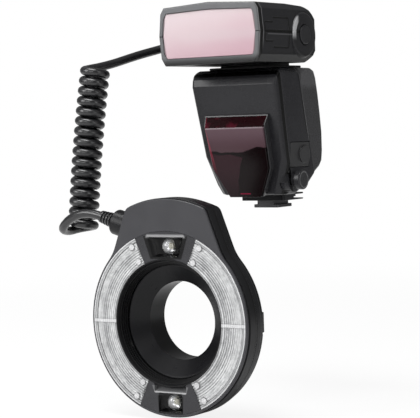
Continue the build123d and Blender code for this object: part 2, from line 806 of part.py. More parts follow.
def corner_radii(points):
    """A share of the shorter run beside each corner, over the tangent of half the turn."""
    radii = []
    for before, corner, after in zip(points, points[1:], points[2:]):
        inward, outward = corner - before, after - corner
        half_turn = radians(inward.get_angle(outward)) / 2
        radii.append(corner_share * min(inward.length, outward.length) / tan(half_turn))
    return radii


def build_cord_stretch(name, points):
    """Tube of straight runs and tangent arcs through the hand-set points."""
    radii = corner_radii(points)
    with BuildPart() as stretch:
        with BuildLine() as route:
            FilletPolyline(*points, radius=radii)
        start = Plane(origin=points[0], z_dir=points[1] - points[0])
        with BuildSketch(start):
            Circle(cord_diameter / 2)
        sweep(path=route.wire())
    expected = pi * cord_diameter**2 / 4 * route.wire().length
    print(name, "radii", [round(r, 1) for r in radii], "length", round(route.wire().length, 1),
          "volume share", round(stretch.part.volume / expected, 4))
    save(stretch, name)
    return route.wire().length


def build_cord():
    wire = coil_wire()
    head_of_coil, foot_of_coil = wire @ 0, wire @ 1
    with BuildPart() as cord_coil:
        with BuildSketch(Plane(origin=head_of_coil, z_dir=wire % 0)):
            Circle(cord_diameter / 2)
        sweep(path=wire)
    share = cord_coil.part.volume / (pi * cord_diameter**2 / 4 * wire.length)
    print("cord_coil length", round(wire.length, 1), "volume share", round(share, 4),
          "least gap", round(least_gap(wire, cord_diameter, gap_spacing), 2))
    save(cord_coil, "cord_coil")
    relief_tip = boss_plane(boss_length + relief_length).origin
    upper = [Vector(*p) for p in cord_upper_points]
    upper += [head_of_coil - (wire % 0) * cord_top_run, head_of_coil]
    lower = [foot_of_coil, foot_of_coil + (wire % 1) * cord_foot_run]
    lower += [Vector(*p) for p in cord_lower_points]
    lower += [relief_tip + boss_plane(0).z_dir * cord_relief_run, relief_tip]
    total = wire.length
    total += build_cord_stretch("cord_upper", upper)
    total += build_cord_stretch("cord_lower", lower)
    print("cord total length", round(total, 1))


# Controller body


class BodyForm:
    """Sizes of the controller's form, drawn in by an inset."""

    def __init__(self, inset):
        self.half = body_half_width - inset
        self.depth = body_depth - 2 * inset
        self.height = body_height - 2 * inset
        self.front = body_front_top_y + inset
        self.bottom = body_bottom_z + inset

    def point(self, shares, side=1):
        x, y, z = shares
        return Vector(side * x * self.half, self.front + y * self.depth, self.bottom + z * self.height)

    def cut_plane(self, shares, side):
        """Plane through three points, its normal pointing away from the body's middle."""
        a, b, c = [self.point(s, side) for s in shares]
        normal = (b - a).cross(c - a).normalized()
        if normal.X * side < 0:
            normal = normal * -1
        return Plane(origin=a, z_dir=normal)


def body_form(inset):
    """The controller's closed outer form, or the same drawn in for its hollow."""
    form = BodyForm(inset)
    with BuildPart() as body:
        with BuildSketch(Plane.YZ.offset(-form.depth)):
            Polygon(*[(form.front + y * form.depth, form.bottom + z * form.height) for y, z in side_shares],
                    align=None)
        extrude(amount=2 * form.depth)
        with BuildSketch(Plane.XZ.offset(-form.front - form.depth)):
            Polygon(*[(x * form.half, form.bottom + z * form.height) for x, z in front_shares], align=None)
        extrude(amount=form.depth, mode=Mode.INTERSECT)
        for side in (1, -1):
            for shares in (flare_plane_shares, chamfer_plane_shares, bevel_plane_shares):
                split(bisect_by=BodyForm(0).cut_plane(shares, side).offset(-inset), keep=Keep.BOTTOM)
    return body.part


def front_face_plane(depth):
    """Plane along the controller's leaning front face, this far behind it, facing forward.

    Its X runs across the body and its Y up the face from the bottom edge.
    """
    form = BodyForm(0)
    top = form.point((0, *side_shares[0]))
    low = form.point((0, *side_shares[-1]))
    up = (top - low).normalized()
    normal = Vector(1, 0, 0).cross(up)
    return Plane(origin=low - normal * depth, x_dir=(1, 0, 0), z_dir=normal)


def side_point(side, shares):
    """A point on the controller's skin from shares of its half width, depth and height."""
    return BodyForm(0).point(shares, side)


# Autofocus window, a wedge on the controller's front


def window_form(border, drop):
    """Wedge that stands on the leaning front face; border widens it and drop lowers it."""
    base = front_face_plane(0)
    rise = window_height + border
    with BuildPart() as form:
        with BuildSketch(base.offset(-window_bottom_proud / 2)):
            right = [((window_half_width) * x + border, rise * v) for x, v in window_width_shares]
            Polygon(*(right + [(-x, v) for x, v in reversed(right)]), align=None)
        extrude(amount=3 * window_top_proud)
        section = Plane(origin=base.origin, x_dir=base.y_dir, z_dir=(1, 0, 0))
        top = window_top_proud - drop
        low = window_bottom_proud - drop
        back = -window_bottom_proud
        out = 1 if section.y_dir.dot(base.z_dir) > 0 else -1
        points = [(0, back), (rise, back), (rise, top * window_bevel_proud_share),
                  (rise * window_bevel_share, top), (0, low)]
        with BuildSketch(section.offset(-body_half_width)):
            Polygon(*[(v, out * n) for v, n in points], align=None)
        extrude(amount=2 * body_half_width, mode=Mode.INTERSECT)
    return form.part


def build_af_window():
    pane = window_form(0, 0)
    with BuildPart() as af_window:
        add(pane)
        with BuildSketch(front_face_plane(0)):
            Rectangle(4 * window_height, 4 * window_height)
        extrude(amount=-window_height, mode=Mode.SUBTRACT)
    save(af_window, "af_window")
    with BuildPart() as af_window_frame:
        add(window_form(window_border, window_border_drop))
        add(window_form(seat_gap, -window_top_proud), mode=Mode.SUBTRACT)
        with BuildSketch(front_face_plane(-seat_gap)):
            Rectangle(4 * window_height, 4 * window_height)
        extrude(amount=-window_height, mode=Mode.SUBTRACT)
    save(af_window_frame, "af_window_frame")


# Controller fittings


def rear_plane(z, depth=0):
    """Plane along the controller's upper back at this height, facing rearwards."""
    normal = Vector(0, 1, rear_lean_share).normalized()
    back_y = body_front_top_y + body_depth * rear_plane_shares[0]
    back_z = body_bottom_z + body_height * rear_plane_shares[1]
    y = back_y - rear_lean_share * (z - back_z)
    return Plane(origin=Vector(0, y, z) - normal * depth, x_dir=(-1, 0, 0), z_dir=normal)


def back_plane(y):
    """Upright plane across the controller's back, facing rearwards."""
    return Plane(origin=(0, y, dial_z), x_dir=(-1, 0, 0), z_dir=(0, 1, 0))


def skin_plane(side, shares, middle, depth=0):
    """Plane on a side facet of the controller: X runs rearwards and Y upwards, facing out."""
    form = BodyForm(0)
    facet = form.cut_plane(shares, side)
    point = form.point(middle, side)
    origin = point - facet.z_dir * (point - facet.origin).dot(facet.z_dir)
    rearward = Vector(0, 1, 0) - facet.z_dir * facet.z_dir.Y
    return Plane(origin=origin - facet.z_dir * depth, x_dir=rearward.normalized(), z_dir=facet.z_dir)


def door_plane(depth=0):
    return skin_plane(-1, chamfer_plane_shares, door_middle_shares, depth)


def flap_plane(depth=0):
    return skin_plane(1, flare_plane_shares, cover_middle_shares, depth)


def button_places():
    return [(button_pitch * (i - 1.5), 0) for i in range(4)]


def build_body_shells():
    outer = body_form(0)
    outer = outer.fillet(body_edge_radius, outer.edges())
    inner = body_form(body_wall)
    with BuildPart() as shell:
        add(outer)
        with BuildSketch(Plane.YZ.offset(knob_collar_x)):
            with Locations((knob_y, knob_z)):
                Circle(knob_radius + free_gap + knob_collar_wall)
        extrude(amount=-knob_radius)
        add(inner, mode=Mode.SUBTRACT)
        with BuildSketch(Plane.YZ.offset(knob_face_x)):
            with Locations((knob_y, knob_z)):
                Circle(knob_radius + free_gap)
        extrude(amount=-knob_length - knob_travel - free_gap, mode=Mode.SUBTRACT)
        with BuildSketch(Plane.XY.offset(body_bottom_z + body_height)):
            with Locations((0, neck_y)):
                Circle(turntable_pivot_radius + running_clearance)
        extrude(amount=-turntable_pivot_length - seat_gap, mode=Mode.SUBTRACT)
        with BuildSketch(rear_plane(lcd_z, lcd_thickness + seat_gap)):
            Rectangle(lcd_width + 2 * seat_gap, lcd_height + 2 * seat_gap)
        extrude(amount=overrun, mode=Mode.SUBTRACT)
        with BuildSketch(rear_plane(button_z, button_length + button_travel)):
            with Locations(*button_places()):
                Rectangle(button_width + 2 * free_gap, button_height + 2 * free_gap)
        extrude(amount=overrun + button_length, mode=Mode.SUBTRACT)
        with BuildSketch(back_plane(dial_floor_y - free_gap)):
            Circle(dial_radius + free_gap)
            with Locations((side_control_x, 0)):
                Rectangle(switch_width + 2 * free_gap, switch_height + switch_travel + 2 * free_gap)
            with Locations((-side_control_x, 0)):
                Circle(test_button_radius + free_gap)
        extrude(amount=overrun + dial_face_y - dial_floor_y, mode=Mode.SUBTRACT)
        with BuildSketch(door_plane(door_thickness + door_seat_gap)):
            Rectangle(door_width + 2 * free_gap, door_height + 2 * free_gap)
        extrude(amount=overrun, mode=Mode.SUBTRACT)
        with BuildSketch(door_plane(-overrun)):
            Rectangle(door_width - 2 * door_thickness, door_height - 2 * door_thickness)
        extrude(amount=-overrun - 3 * body_wall, mode=Mode.SUBTRACT)
        with BuildSketch(flap_plane(cover_plate_thickness + door_seat_gap)):
            Rectangle(cover_width + 2 * free_gap, cover_height + 2 * free_gap)
        extrude(amount=overrun, mode=Mode.SUBTRACT)
    whole = shell.part
    with BuildPart() as body_front_shell:
        add(whole)
        split(bisect_by=front_face_plane(body_split_depth), keep=Keep.TOP)
    save(body_front_shell, "body_front_shell")
    with BuildPart() as body_rear_shell:
        add(whole)
        split(bisect_by=front_face_plane(body_split_depth), keep=Keep.BOTTOM)
    save(body_rear_shell, "body_rear_shell")


def build_display_and_controls():
    with BuildPart() as lcd_window:
        with BuildSketch(rear_plane(lcd_z, lcd_thickness)):
            Rectangle(lcd_width, lcd_height)
        extrude(amount=lcd_thickness + seat_gap)
        chamfer(lcd_window.faces().sort_by(Axis.Y)[-1].edges(), soft_edge)
    save(lcd_window, "lcd_window")
    for i, place in enumerate(button_places()):
        with BuildPart() as function_button:
            with BuildSketch(rear_plane(button_z, button_length)):
                with Locations(place):
                    Rectangle(button_width, button_height)
            extrude(amount=button_length + button_proud)
            fillet(function_button.faces().sort_by(Axis.Y)[-1].edges(), soft_edge)
        save(function_button, "function_button_" + str(i + 1))
    with BuildPart() as select_dial:
        with BuildSketch(back_plane(dial_floor_y)):
            Circle(dial_radius)
            Circle(dial_bore_radius, mode=Mode.SUBTRACT)
        extrude(amount=dial_face_y - dial_floor_y)
        fillet(select_dial.faces().sort_by(Axis.Y)[-1].edges(), soft_edge)
    save(select_dial, "select_dial")
    with BuildPart() as set_button:
        with BuildSketch(back_plane(dial_floor_y + button_travel)):
            Circle(set_button_radius)
        extrude(amount=dial_face_y - dial_floor_y - button_travel)
        fillet(set_button.faces().sort_by(Axis.Y)[-1].edges(), soft_edge)
    save(set_button, "set_button")
    with BuildPart() as test_button:
        with BuildSketch(back_plane(dial_floor_y + button_travel)):
            with Locations((-side_control_x, 0)):
                Circle(test_button_radius)
        extrude(amount=dial_face_y - dial_floor_y - button_travel)
        fillet(test_button.faces().sort_by(Axis.Y)[-1].edges(), soft_edge)
    save(test_button, "test_button")
    with BuildPart() as power_switch:
        with BuildSketch(back_plane(dial_floor_y)):
            with Locations((side_control_x, switch_travel / 2)):
                Rectangle(switch_width, switch_height)
        extrude(amount=dial_face_y - dial_floor_y)
        fillet(power_switch.faces().sort_by(Axis.Y)[-1].edges(), soft_edge)
    save(power_switch, "power_switch")


def build_doors():
    with BuildPart() as battery_door:
        with BuildSketch(door_plane(door_thickness)):
            RectangleRounded(door_width, door_height, edge_radius)
        extrude(amount=door_thickness)
    save(battery_door, "battery_door")
    with BuildPart() as terminal_cover:
        with BuildSketch(flap_plane(cover_plate_thickness)):
            RectangleRounded(cover_width, cover_height, edge_radius)
        extrude(amount=cover_plate_thickness)
        with BuildSketch(flap_plane(0)):
            with Locations((cover_width / 2 - cover_lobe_radius, 0)):
                Circle(cover_lobe_radius)
        extrude(amount=edge_radius)
    save(terminal_cover, "terminal_cover")


def build_insides():
    rows = ((-0.5, -0.5), (0.5, -0.5), (-0.5, 0.5), (0.5, 0.5))
    pitch = 2 * (battery_radius + free_gap)
    with BuildPart() as batteries:
        with BuildSketch(Plane.XY.offset(battery_base_z)):
            with Locations(*[(battery_x + pitch * x, battery_y + pitch * y) for x, y in rows]):
                Circle(battery_radius)
        extrude(amount=battery_length)
        with BuildSketch(Plane.XY.offset(battery_base_z + battery_length)):
            with Locations(*[(battery_x + pitch * x, battery_y + pitch * y) for x, y in rows]):
                Circle(battery_radius / 3)
        extrude(amount=edge_radius)
    save(batteries, "batteries")
    tray_width = 2 * pitch + thin_wall
    floor_z = battery_base_z - thin_wall
    with BuildPart() as battery_tray:
        with BuildSketch(Plane.XY.offset(body_bottom_z + body_wall + seat_gap)):
            with Locations((battery_x, battery_y - pitch / 2)):
                Rectangle(tray_width / 2, pitch / 2)
        extrude(amount=floor_z - body_bottom_z - body_wall - seat_gap)
        with BuildSketch(Plane.XY.offset(floor_z)):
            with Locations((battery_x, battery_y)):
                Rectangle(tray_width, 2 * pitch)
        extrude(amount=thin_wall - seat_gap)
        with BuildSketch(Plane.XY.offset(battery_base_z + battery_length + edge_radius + seat_gap)):
            with Locations((battery_x, battery_y)):
                Rectangle(tray_width, 2 * pitch)
        extrude(amount=thin_wall)
        with BuildSketch(Plane.XY.offset(floor_z)):
            with Locations((battery_x + pitch + free_gap + thin_wall / 2, battery_y)):
                Rectangle(thin_wall, 2 * pitch)
        extrude(amount=battery_length + 2 * thin_wall + edge_radius + seat_gap)
    save(battery_tray, "battery_tray")
    with BuildPart() as main_board:
        with BuildSketch(Plane.YZ.offset(board_x)):
            with Locations((board_y, board_z)):
                Rectangle(board_width, board_height)
        extrude(amount=-board_thickness)
        with BuildSketch(Plane.XY.offset(board_z - capacitor_length / 2)):
            with Locations((board_x - board_thickness - capacitor_radius, board_y)):
                Circle(capacitor_radius)
        extrude(amount=capacitor_length)
        tray_face_x = battery_x + pitch + free_gap + thin_wall + seat_gap
        with BuildSketch(Plane.YZ.offset(tray_face_x)):
            with Locations((board_y - pitch / 2, board_z), (board_y + pitch / 2, board_z)):
                Circle(capacitor_radius / 3)
        extrude(amount=board_x - tray_face_x)
    save(main_board, "main_board")


def build_knob():
    with BuildPart() as shoe_release_button:
        with BuildSketch(Plane.YZ.offset(knob_face_x)):
            with Locations((knob_y, knob_z)):
                Circle(knob_radius)
        extrude(amount=-knob_length)
        fillet(shoe_release_button.faces().sort_by(Axis.X)[-1].edges(), edge_radius)
    save(shoe_release_button, "shoe_release_button")


# Hot shoe foot


def build_foot():
    with BuildPart() as shoe_foot:
        with BuildSketch(Plane.XY):
            Rectangle(foot_width, foot_length)
        extrude(amount=foot_thickness)
        chamfer(shoe_foot.edges().filter_by(Axis.Z), edge_radius)
        with BuildSketch(Plane.XY.offset(foot_thickness)):
            Rectangle(foot_neck_width, foot_length)
        extrude(amount=foot_collar_z - foot_thickness)
        with BuildSketch(Plane.XY):
            with Locations(*contact_places):
                Circle(contact_radius + seat_gap)
        extrude(amount=foot_thickness, mode=Mode.SUBTRACT)
        with BuildSketch(Plane.XY):
            with Locations((0, lock_pin_y)):
                Circle(lock_pin_radius + running_clearance)
        extrude(amount=foot_collar_z, mode=Mode.SUBTRACT)
    save(shoe_foot, "shoe_foot")
    with BuildPart() as shoe_contacts:
        with BuildSketch(Plane.XY):
            with Locations(*contact_places):
                Circle(contact_radius)
        extrude(amount=foot_thickness)
    save(shoe_contacts, "shoe_contacts")
    with BuildPart() as shoe_base:
        with BuildSketch(Plane.XY.offset(foot_collar_z)):
            RectangleRounded(collar_width, collar_length, wall)
        extrude(amount=body_bottom_z - foot_collar_z)
        with BuildSketch(Plane.XY.offset(lever_z - free_gap / 2)):
            Circle(lever_radius + free_gap)
            with Locations((0, collar_length / 2)):
                Rectangle(2 * collar_width, collar_length)
        extrude(amount=lever_thickness + free_gap, mode=Mode.SUBTRACT)
        with BuildSketch(Plane.XY.offset(foot_collar_z)):
            Circle(lever_pivot_radius)
        extrude(amount=body_bottom_z - foot_collar_z)
        with BuildSketch(Plane.XY.offset(foot_collar_z)):
            with Locations((0, lock_pin_y)):
                Circle(lock_pin_radius + running_clearance)
        extrude(amount=lever_z - foot_collar_z, mode=Mode.SUBTRACT)
    save(shoe_base, "shoe_base")
    with BuildPart() as shoe_lock_lever:
        with BuildSketch(Plane.XY.offset(lever_z)):
            Circle(lever_radius)
            with Locations((0, lever_grip_reach / 2)):
                RectangleRounded(lever_grip_width, lever_grip_reach, edge_radius)
            Circle(lever_pivot_radius + running_clearance, mode=Mode.SUBTRACT)
        extrude(amount=lever_thickness)
    save(shoe_lock_lever, "shoe_lock_lever")
    with BuildPart() as shoe_lock_pin:
        with BuildSketch(Plane.XY.offset(lock_pin_recess)):
            with Locations((0, lock_pin_y)):
                Circle(lock_pin_radius)
        extrude(amount=lever_z - free_gap - lock_pin_recess)
    save(shoe_lock_pin, "shoe_lock_pin")


# Head and neck


def build_neck():
    top = body_bottom_z + body_height
    disc_z = top + free_gap / 2
    with BuildPart() as neck:
        with BuildSketch(Plane.XY.offset(top - turntable_pivot_length)):
            with Locations((0, neck_y)):
                Circle(turntable_pivot_radius)
        extrude(amount=turntable_pivot_length + free_gap)
        with BuildSketch(Plane.XY.offset(disc_z)):
            with Locations((0, neck_y)):
                RectangleRounded(2 * turntable_half_width, 2 * turntable_half_depth, turntable_corner)
        extrude(amount=turntable_thickness)
        with BuildSketch(Plane.XY.offset(disc_z)):
            with Locations((0, neck_y)):
                Rectangle(2 * stem_half_width, 2 * stem_half_depth)
        extrude(amount=pivot_z - disc_z)
        with BuildSketch(Plane.YZ.offset(-barrel_half_length)):
            with Locations((neck_y, pivot_z)):
                Circle(barrel_radius)
        extrude(amount=2 * barrel_half_length)
        with BuildSketch(Plane.YZ.offset(-head_half_width - edge_radius)):
            with Locations((neck_y, pivot_z)):
                Circle(axle_radius)
        extrude(amount=2 * head_half_width - axle_drop + edge_radius)
    save(neck, "neck")
    with BuildPart() as cord_gland:
        with BuildSketch(Plane.YZ.offset(-head_half_width - edge_radius)):
            with Locations((neck_y, pivot_z)):
                Circle(head_gland_diameter / 2)
        extrude(amount=-gland_length)
        fillet(cord_gland.faces().sort_by(Axis.X)[0].edges(), edge_radius)
    save(cord_gland, "cord_gland")


def head_form(inset):
    """The head's closed form: a box with a faceted outline that ends in a round dome."""
    half = head_half_width - inset
    height = head_height - 2 * inset
    low = head_bottom_z + inset
    top = low + height
    dome = dome_radius - inset
    front = head_front_y
    with BuildPart() as head:
        with BuildSketch(Plane.XZ.offset(-neck_y - dome)):
            Polygon(*[(x * half, low + z * height) for x, z in head_outline_shares], align=None)
        extrude(amount=neck_y + dome - front)
        with BuildSketch(Plane.YZ.offset(-2 * half)):
            Polygon((front, low), (neck_y, pivot_z - dome), (neck_y, pivot_z + dome), (front, top),
                    align=None)
            with Locations((neck_y, pivot_z)):
                Circle(dome)
        extrude(amount=4 * half, mode=Mode.INTERSECT)
    return head.part


def build_head():
    outer = head_form(0)
    soft = [e for e in outer.edges() if e.length > head_wall and e.center().Y > head_front_y + edge_radius]
    outer = outer.fillet(edge_radius, soft)
    cut_radius = barrel_radius + head_gap
    cut_half = barrel_half_length + head_gap
    slot_back = stem_half_depth + head_gap
    chamber_back = neck_y - cut_radius - head_wall
    shell_front = head_front_y + bezel_depth
    with BuildPart() as shell:
        add(outer)
        with BuildSketch(Plane.XY.offset(head_bottom_z - head_gap)) as plan:
            with Locations((0, head_front_y)):
                Rectangle(2 * head_half_width, neck_y + dome_radius - head_front_y,
                          align=(Align.CENTER, Align.MIN))
            fillet(plan.vertices().group_by(Axis.Y)[-1], dome_cheek_radius)
        extrude(amount=2 * head_height, mode=Mode.INTERSECT)
        with BuildSketch(Plane.YZ.offset(-cut_half)):
            with Locations((neck_y, pivot_z)):
                Circle(cut_radius)
            with Locations((neck_y - slot_back, pivot_z)):
                Rectangle(3 * dome_radius, 2 * dome_radius, align=(Align.MIN, Align.MAX))
            with Locations((neck_y, pivot_z + slot_back)):
                Rectangle(2 * dome_radius, 3 * dome_radius, align=(Align.MIN, Align.MAX))
        extrude(amount=2 * cut_half, mode=Mode.SUBTRACT)
        with BuildSketch(Plane.YZ.offset(-head_half_width - overrun)):
            with Locations((neck_y, pivot_z)):
                Circle(axle_radius + running_clearance)
        extrude(amount=2 * head_half_width + overrun - axle_drop + free_gap, mode=Mode.SUBTRACT)
        with BuildSketch(Plane.YZ.offset(lock_button_face_x)):
            with Locations((neck_y, pivot_z)):
                Circle(lock_button_radius + free_gap)
        extrude(amount=-lock_button_length - lock_button_travel, mode=Mode.SUBTRACT)
    with BuildPart() as chamber:
        add(head_form(head_wall))
        with BuildSketch(Plane.XZ.offset(-chamber_back)):
            Rectangle(8 * head_half_width, 8 * head_height)
        extrude(amount=-4 * dome_radius, mode=Mode.SUBTRACT)
    hollow = shell.part - chamber.part
    with BuildPart() as cut_front:
        with BuildSketch(Plane.XZ.offset(-shell_front)):
            Rectangle(8 * head_half_width, 8 * head_height)
        extrude(amount=2 * overrun)
    hollow = hollow - cut_front.part
    for name, keep in (("head_upper_shell", Keep.TOP), ("head_lower_shell", Keep.BOTTOM)):
        with BuildPart() as head_shell:
            add(hollow)
            split(bisect_by=Plane.XY.offset(head_seam_z), keep=keep)
        save(head_shell, name)
    outline = [(x * head_half_width, head_bottom_z + z * head_height) for x, z in head_outline_shares]
    panel = [(x * head_half_width, head_bottom_z + z * head_height) for x, z in panel_outline_shares]
    with BuildPart() as head_bezel:
        with BuildSketch(Plane.XZ.offset(-shell_front)):
            Polygon(*outline, align=None)
        extrude(amount=bezel_depth)
        fillet(head_bezel.faces().sort_by(Axis.Y)[0].edges(), edge_radius)
        with BuildSketch(Plane.XZ.offset(-head_front_y)):
            Polygon(*panel, align=None)
            offset(amount=panel_gap)
        extrude(amount=-bezel_depth, mode=Mode.SUBTRACT)
    save(head_bezel, "head_bezel")
    with BuildPart() as head_panel:
        with BuildSketch(Plane.XZ.offset(-shell_front + seat_gap)):
            Polygon(*panel, align=None)
        extrude(amount=panel_depth)
    save(head_panel, "head_panel")
    chassis_front = shell_front + edge_radius
    chassis_height = head_height - 4 * head_wall
    with BuildPart() as head_chassis:
        with BuildSketch(Plane.XZ.offset(-chassis_front)):
            with Locations((0, head_bottom_z + head_wall + seat_gap)):
                Rectangle(chassis_width_share * head_half_width, chassis_height,
                          align=(Align.CENTER, Align.MIN))
        extrude(amount=-(chamber_back - chassis_front - head_gap))
    save(head_chassis, "head_chassis")
    with BuildPart() as head_lock_button:
        with BuildSketch(Plane.YZ.offset(lock_button_face_x)):
            with Locations((neck_y, pivot_z)):
                Circle(lock_button_radius)
        extrude(amount=-lock_button_length)
        fillet(head_lock_button.faces().sort_by(Axis.X)[-1].edges(), edge_radius)
    save(head_lock_button, "head_lock_button")


def main():
    build_ring_front_shell()
    build_ring_fascia()
    build_ring_rear_shell()
    build_ring_screws()
    build_bore_liner()
    build_covers()
    build_flash_tubes()
    build_reflectors()
    build_lamp_blocks()
    build_lamp_lenses()
    build_lamp_boards()
    build_release_slides()
    build_adapter_ring()
    build_cord_boss()
    build_strain_relief()
    build_body_shells()
    build_af_window()
    build_display_and_controls()
    build_doors()
    build_insides()
    build_knob()
    build_foot()
    build_neck()
    build_head()
    build_cord()


main()
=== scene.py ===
"""Macro ring flash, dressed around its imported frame.

Metres, +Z up, the front faces -Y. Every piece is made in the frame's own place.
"""

import json
import logging
import math
from abc import ABC, abstractmethod
from dataclasses import dataclass
from enum import Enum
from typing import Callable, Optional, Sequence, Union

import bmesh
import bpy
from mathutils import Matrix, Vector

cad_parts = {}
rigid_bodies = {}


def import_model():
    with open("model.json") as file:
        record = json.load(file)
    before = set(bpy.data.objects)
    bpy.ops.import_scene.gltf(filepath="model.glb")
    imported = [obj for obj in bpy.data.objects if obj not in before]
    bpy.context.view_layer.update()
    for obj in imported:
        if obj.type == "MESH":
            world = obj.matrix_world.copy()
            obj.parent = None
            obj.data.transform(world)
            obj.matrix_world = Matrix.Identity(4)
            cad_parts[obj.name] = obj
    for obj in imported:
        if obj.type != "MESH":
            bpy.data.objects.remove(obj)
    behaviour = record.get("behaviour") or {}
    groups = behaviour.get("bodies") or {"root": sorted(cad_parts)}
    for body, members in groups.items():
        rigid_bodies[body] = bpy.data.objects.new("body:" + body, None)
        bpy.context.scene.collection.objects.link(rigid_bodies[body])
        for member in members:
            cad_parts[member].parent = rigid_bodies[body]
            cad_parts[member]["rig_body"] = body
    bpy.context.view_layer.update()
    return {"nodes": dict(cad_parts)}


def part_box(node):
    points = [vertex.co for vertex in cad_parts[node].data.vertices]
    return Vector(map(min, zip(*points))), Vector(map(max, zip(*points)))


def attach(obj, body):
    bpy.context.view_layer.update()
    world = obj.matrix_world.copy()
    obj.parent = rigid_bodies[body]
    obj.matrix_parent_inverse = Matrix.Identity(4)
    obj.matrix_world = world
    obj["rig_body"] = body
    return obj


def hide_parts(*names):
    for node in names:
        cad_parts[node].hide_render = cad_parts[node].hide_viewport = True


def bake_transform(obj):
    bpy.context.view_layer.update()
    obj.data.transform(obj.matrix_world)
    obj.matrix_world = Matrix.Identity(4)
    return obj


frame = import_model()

RING_AXIS_Z = -0.0615
RING_FRONT_Y = -0.122
PIVOT_Y = -0.0165
PIVOT_Z = 0.1085
CRISP_ANGLE, SPUN_ANGLE, TUBE_ANGLE = 32.0, 40.0, 60.0  # degrees; sharper edges stay crisp
BEVEL_ANGLE, FLAT_ANGLE = 35.0, 0.4  # degrees; edges that are rounded, and that are taken out
WELD, SPUN_WELD, SLIVER = 2e-6, 1e-6, 1e-7  # metres; nearer points, and shorter edges, are merged
FINE_STEPS, SMALL_STEPS = 96, 48  # faces round a spun piece
TURN = 2 * math.pi
WHITE = (1.0, 1.0, 1.0, 1.0)

log = logging.getLogger("ring_flash")

Colour = tuple[float, float, float]
Point = tuple[float, float, float]
Pair = tuple[float, float]
Value = Union[float, "Field"]
Piece = bpy.types.Object
CordRun = tuple[Piece, list[Vector]]  # a length of cord and its centre line


def grey(level: float, cool: float = 0.0) -> Colour:
    """Grey of this level, with so much more blue."""
    return (level, level, level + cool)


def scaled(colour: Colour, share: float) -> Colour:
    """A colour times a share, at most white."""
    return tuple(min(1.0, c * share) for c in colour)


def operator(operation: str, reflected: bool = False) -> Callable[..., "Field"]:
    """Make a method of Field out of one operation of the Math node.

    Args:
        operation: The node's operation.
        reflected: Whether the field comes last, as in 1 - field.

    Returns:
        The method, which takes the other values.
    """

    def method(self: "Field", *others: Value) -> "Field":
        """Add the node and give its result."""
        values = (*others, self) if reflected else (self, *others)
        return self.graph.node("ShaderNodeMath", dict(enumerate(values)), operation=operation)

    return method


class Field:
    """A shader socket that takes Python arithmetic."""

    def __init__(self, graph: "Graph", socket: bpy.types.NodeSocket) -> None:
        """Keep the graph that the socket belongs to."""
        self.graph = graph
        self.socket = socket

    __add__ = operator("ADD")
    __radd__ = operator("ADD", reflected=True)
    __sub__ = operator("SUBTRACT")
    __rsub__ = operator("SUBTRACT", reflected=True)
    __mul__ = operator("MULTIPLY")
    __rmul__ = operator("MULTIPLY", reflected=True)
    __truediv__ = operator("DIVIDE")
    __abs__ = operator("ABSOLUTE")
    sine = operator("SINE")
    root = operator("SQRT")
    at_least = operator("MAXIMUM")
    at_most = operator("MINIMUM")
    angle_to = operator("ARCTAN2")  # angle in radians of the point (other, self)

    def rise(self, low: float, high: float) -> "Field":
        """Go smoothly from 0 at low to 1 at high.

        Args:
            low: Value that gives 0.
            high: Value that gives 1; below low, the result falls instead.

        Returns:
            The smoothed share.
        """
        start, end, swap = (low, high, False) if low < high else (high, low, True)
        ends = {"Value": self, "From Min": start, "From Max": end}
        share = self.graph.node("ShaderNodeMapRange", ends, interpolation_type="SMOOTHSTEP")
        return 1 - share if swap else share

    def near(self, centre: Value, inner: float, outer: float) -> "Field":
        """1 within inner of a value, falling to 0 at outer."""
        return abs(self - centre).rise(outer, inner)

    def within(self, low: float, high: float, blur: float) -> "Field":
        """1 between two values, with blurred ends."""
        return self.rise(low - blur, low + blur) * self.rise(high + blur, high - blur)

    def wave(self, pitch: float) -> "Field":
        """Sine with this pitch."""
        return (self * (TURN / pitch)).sine()


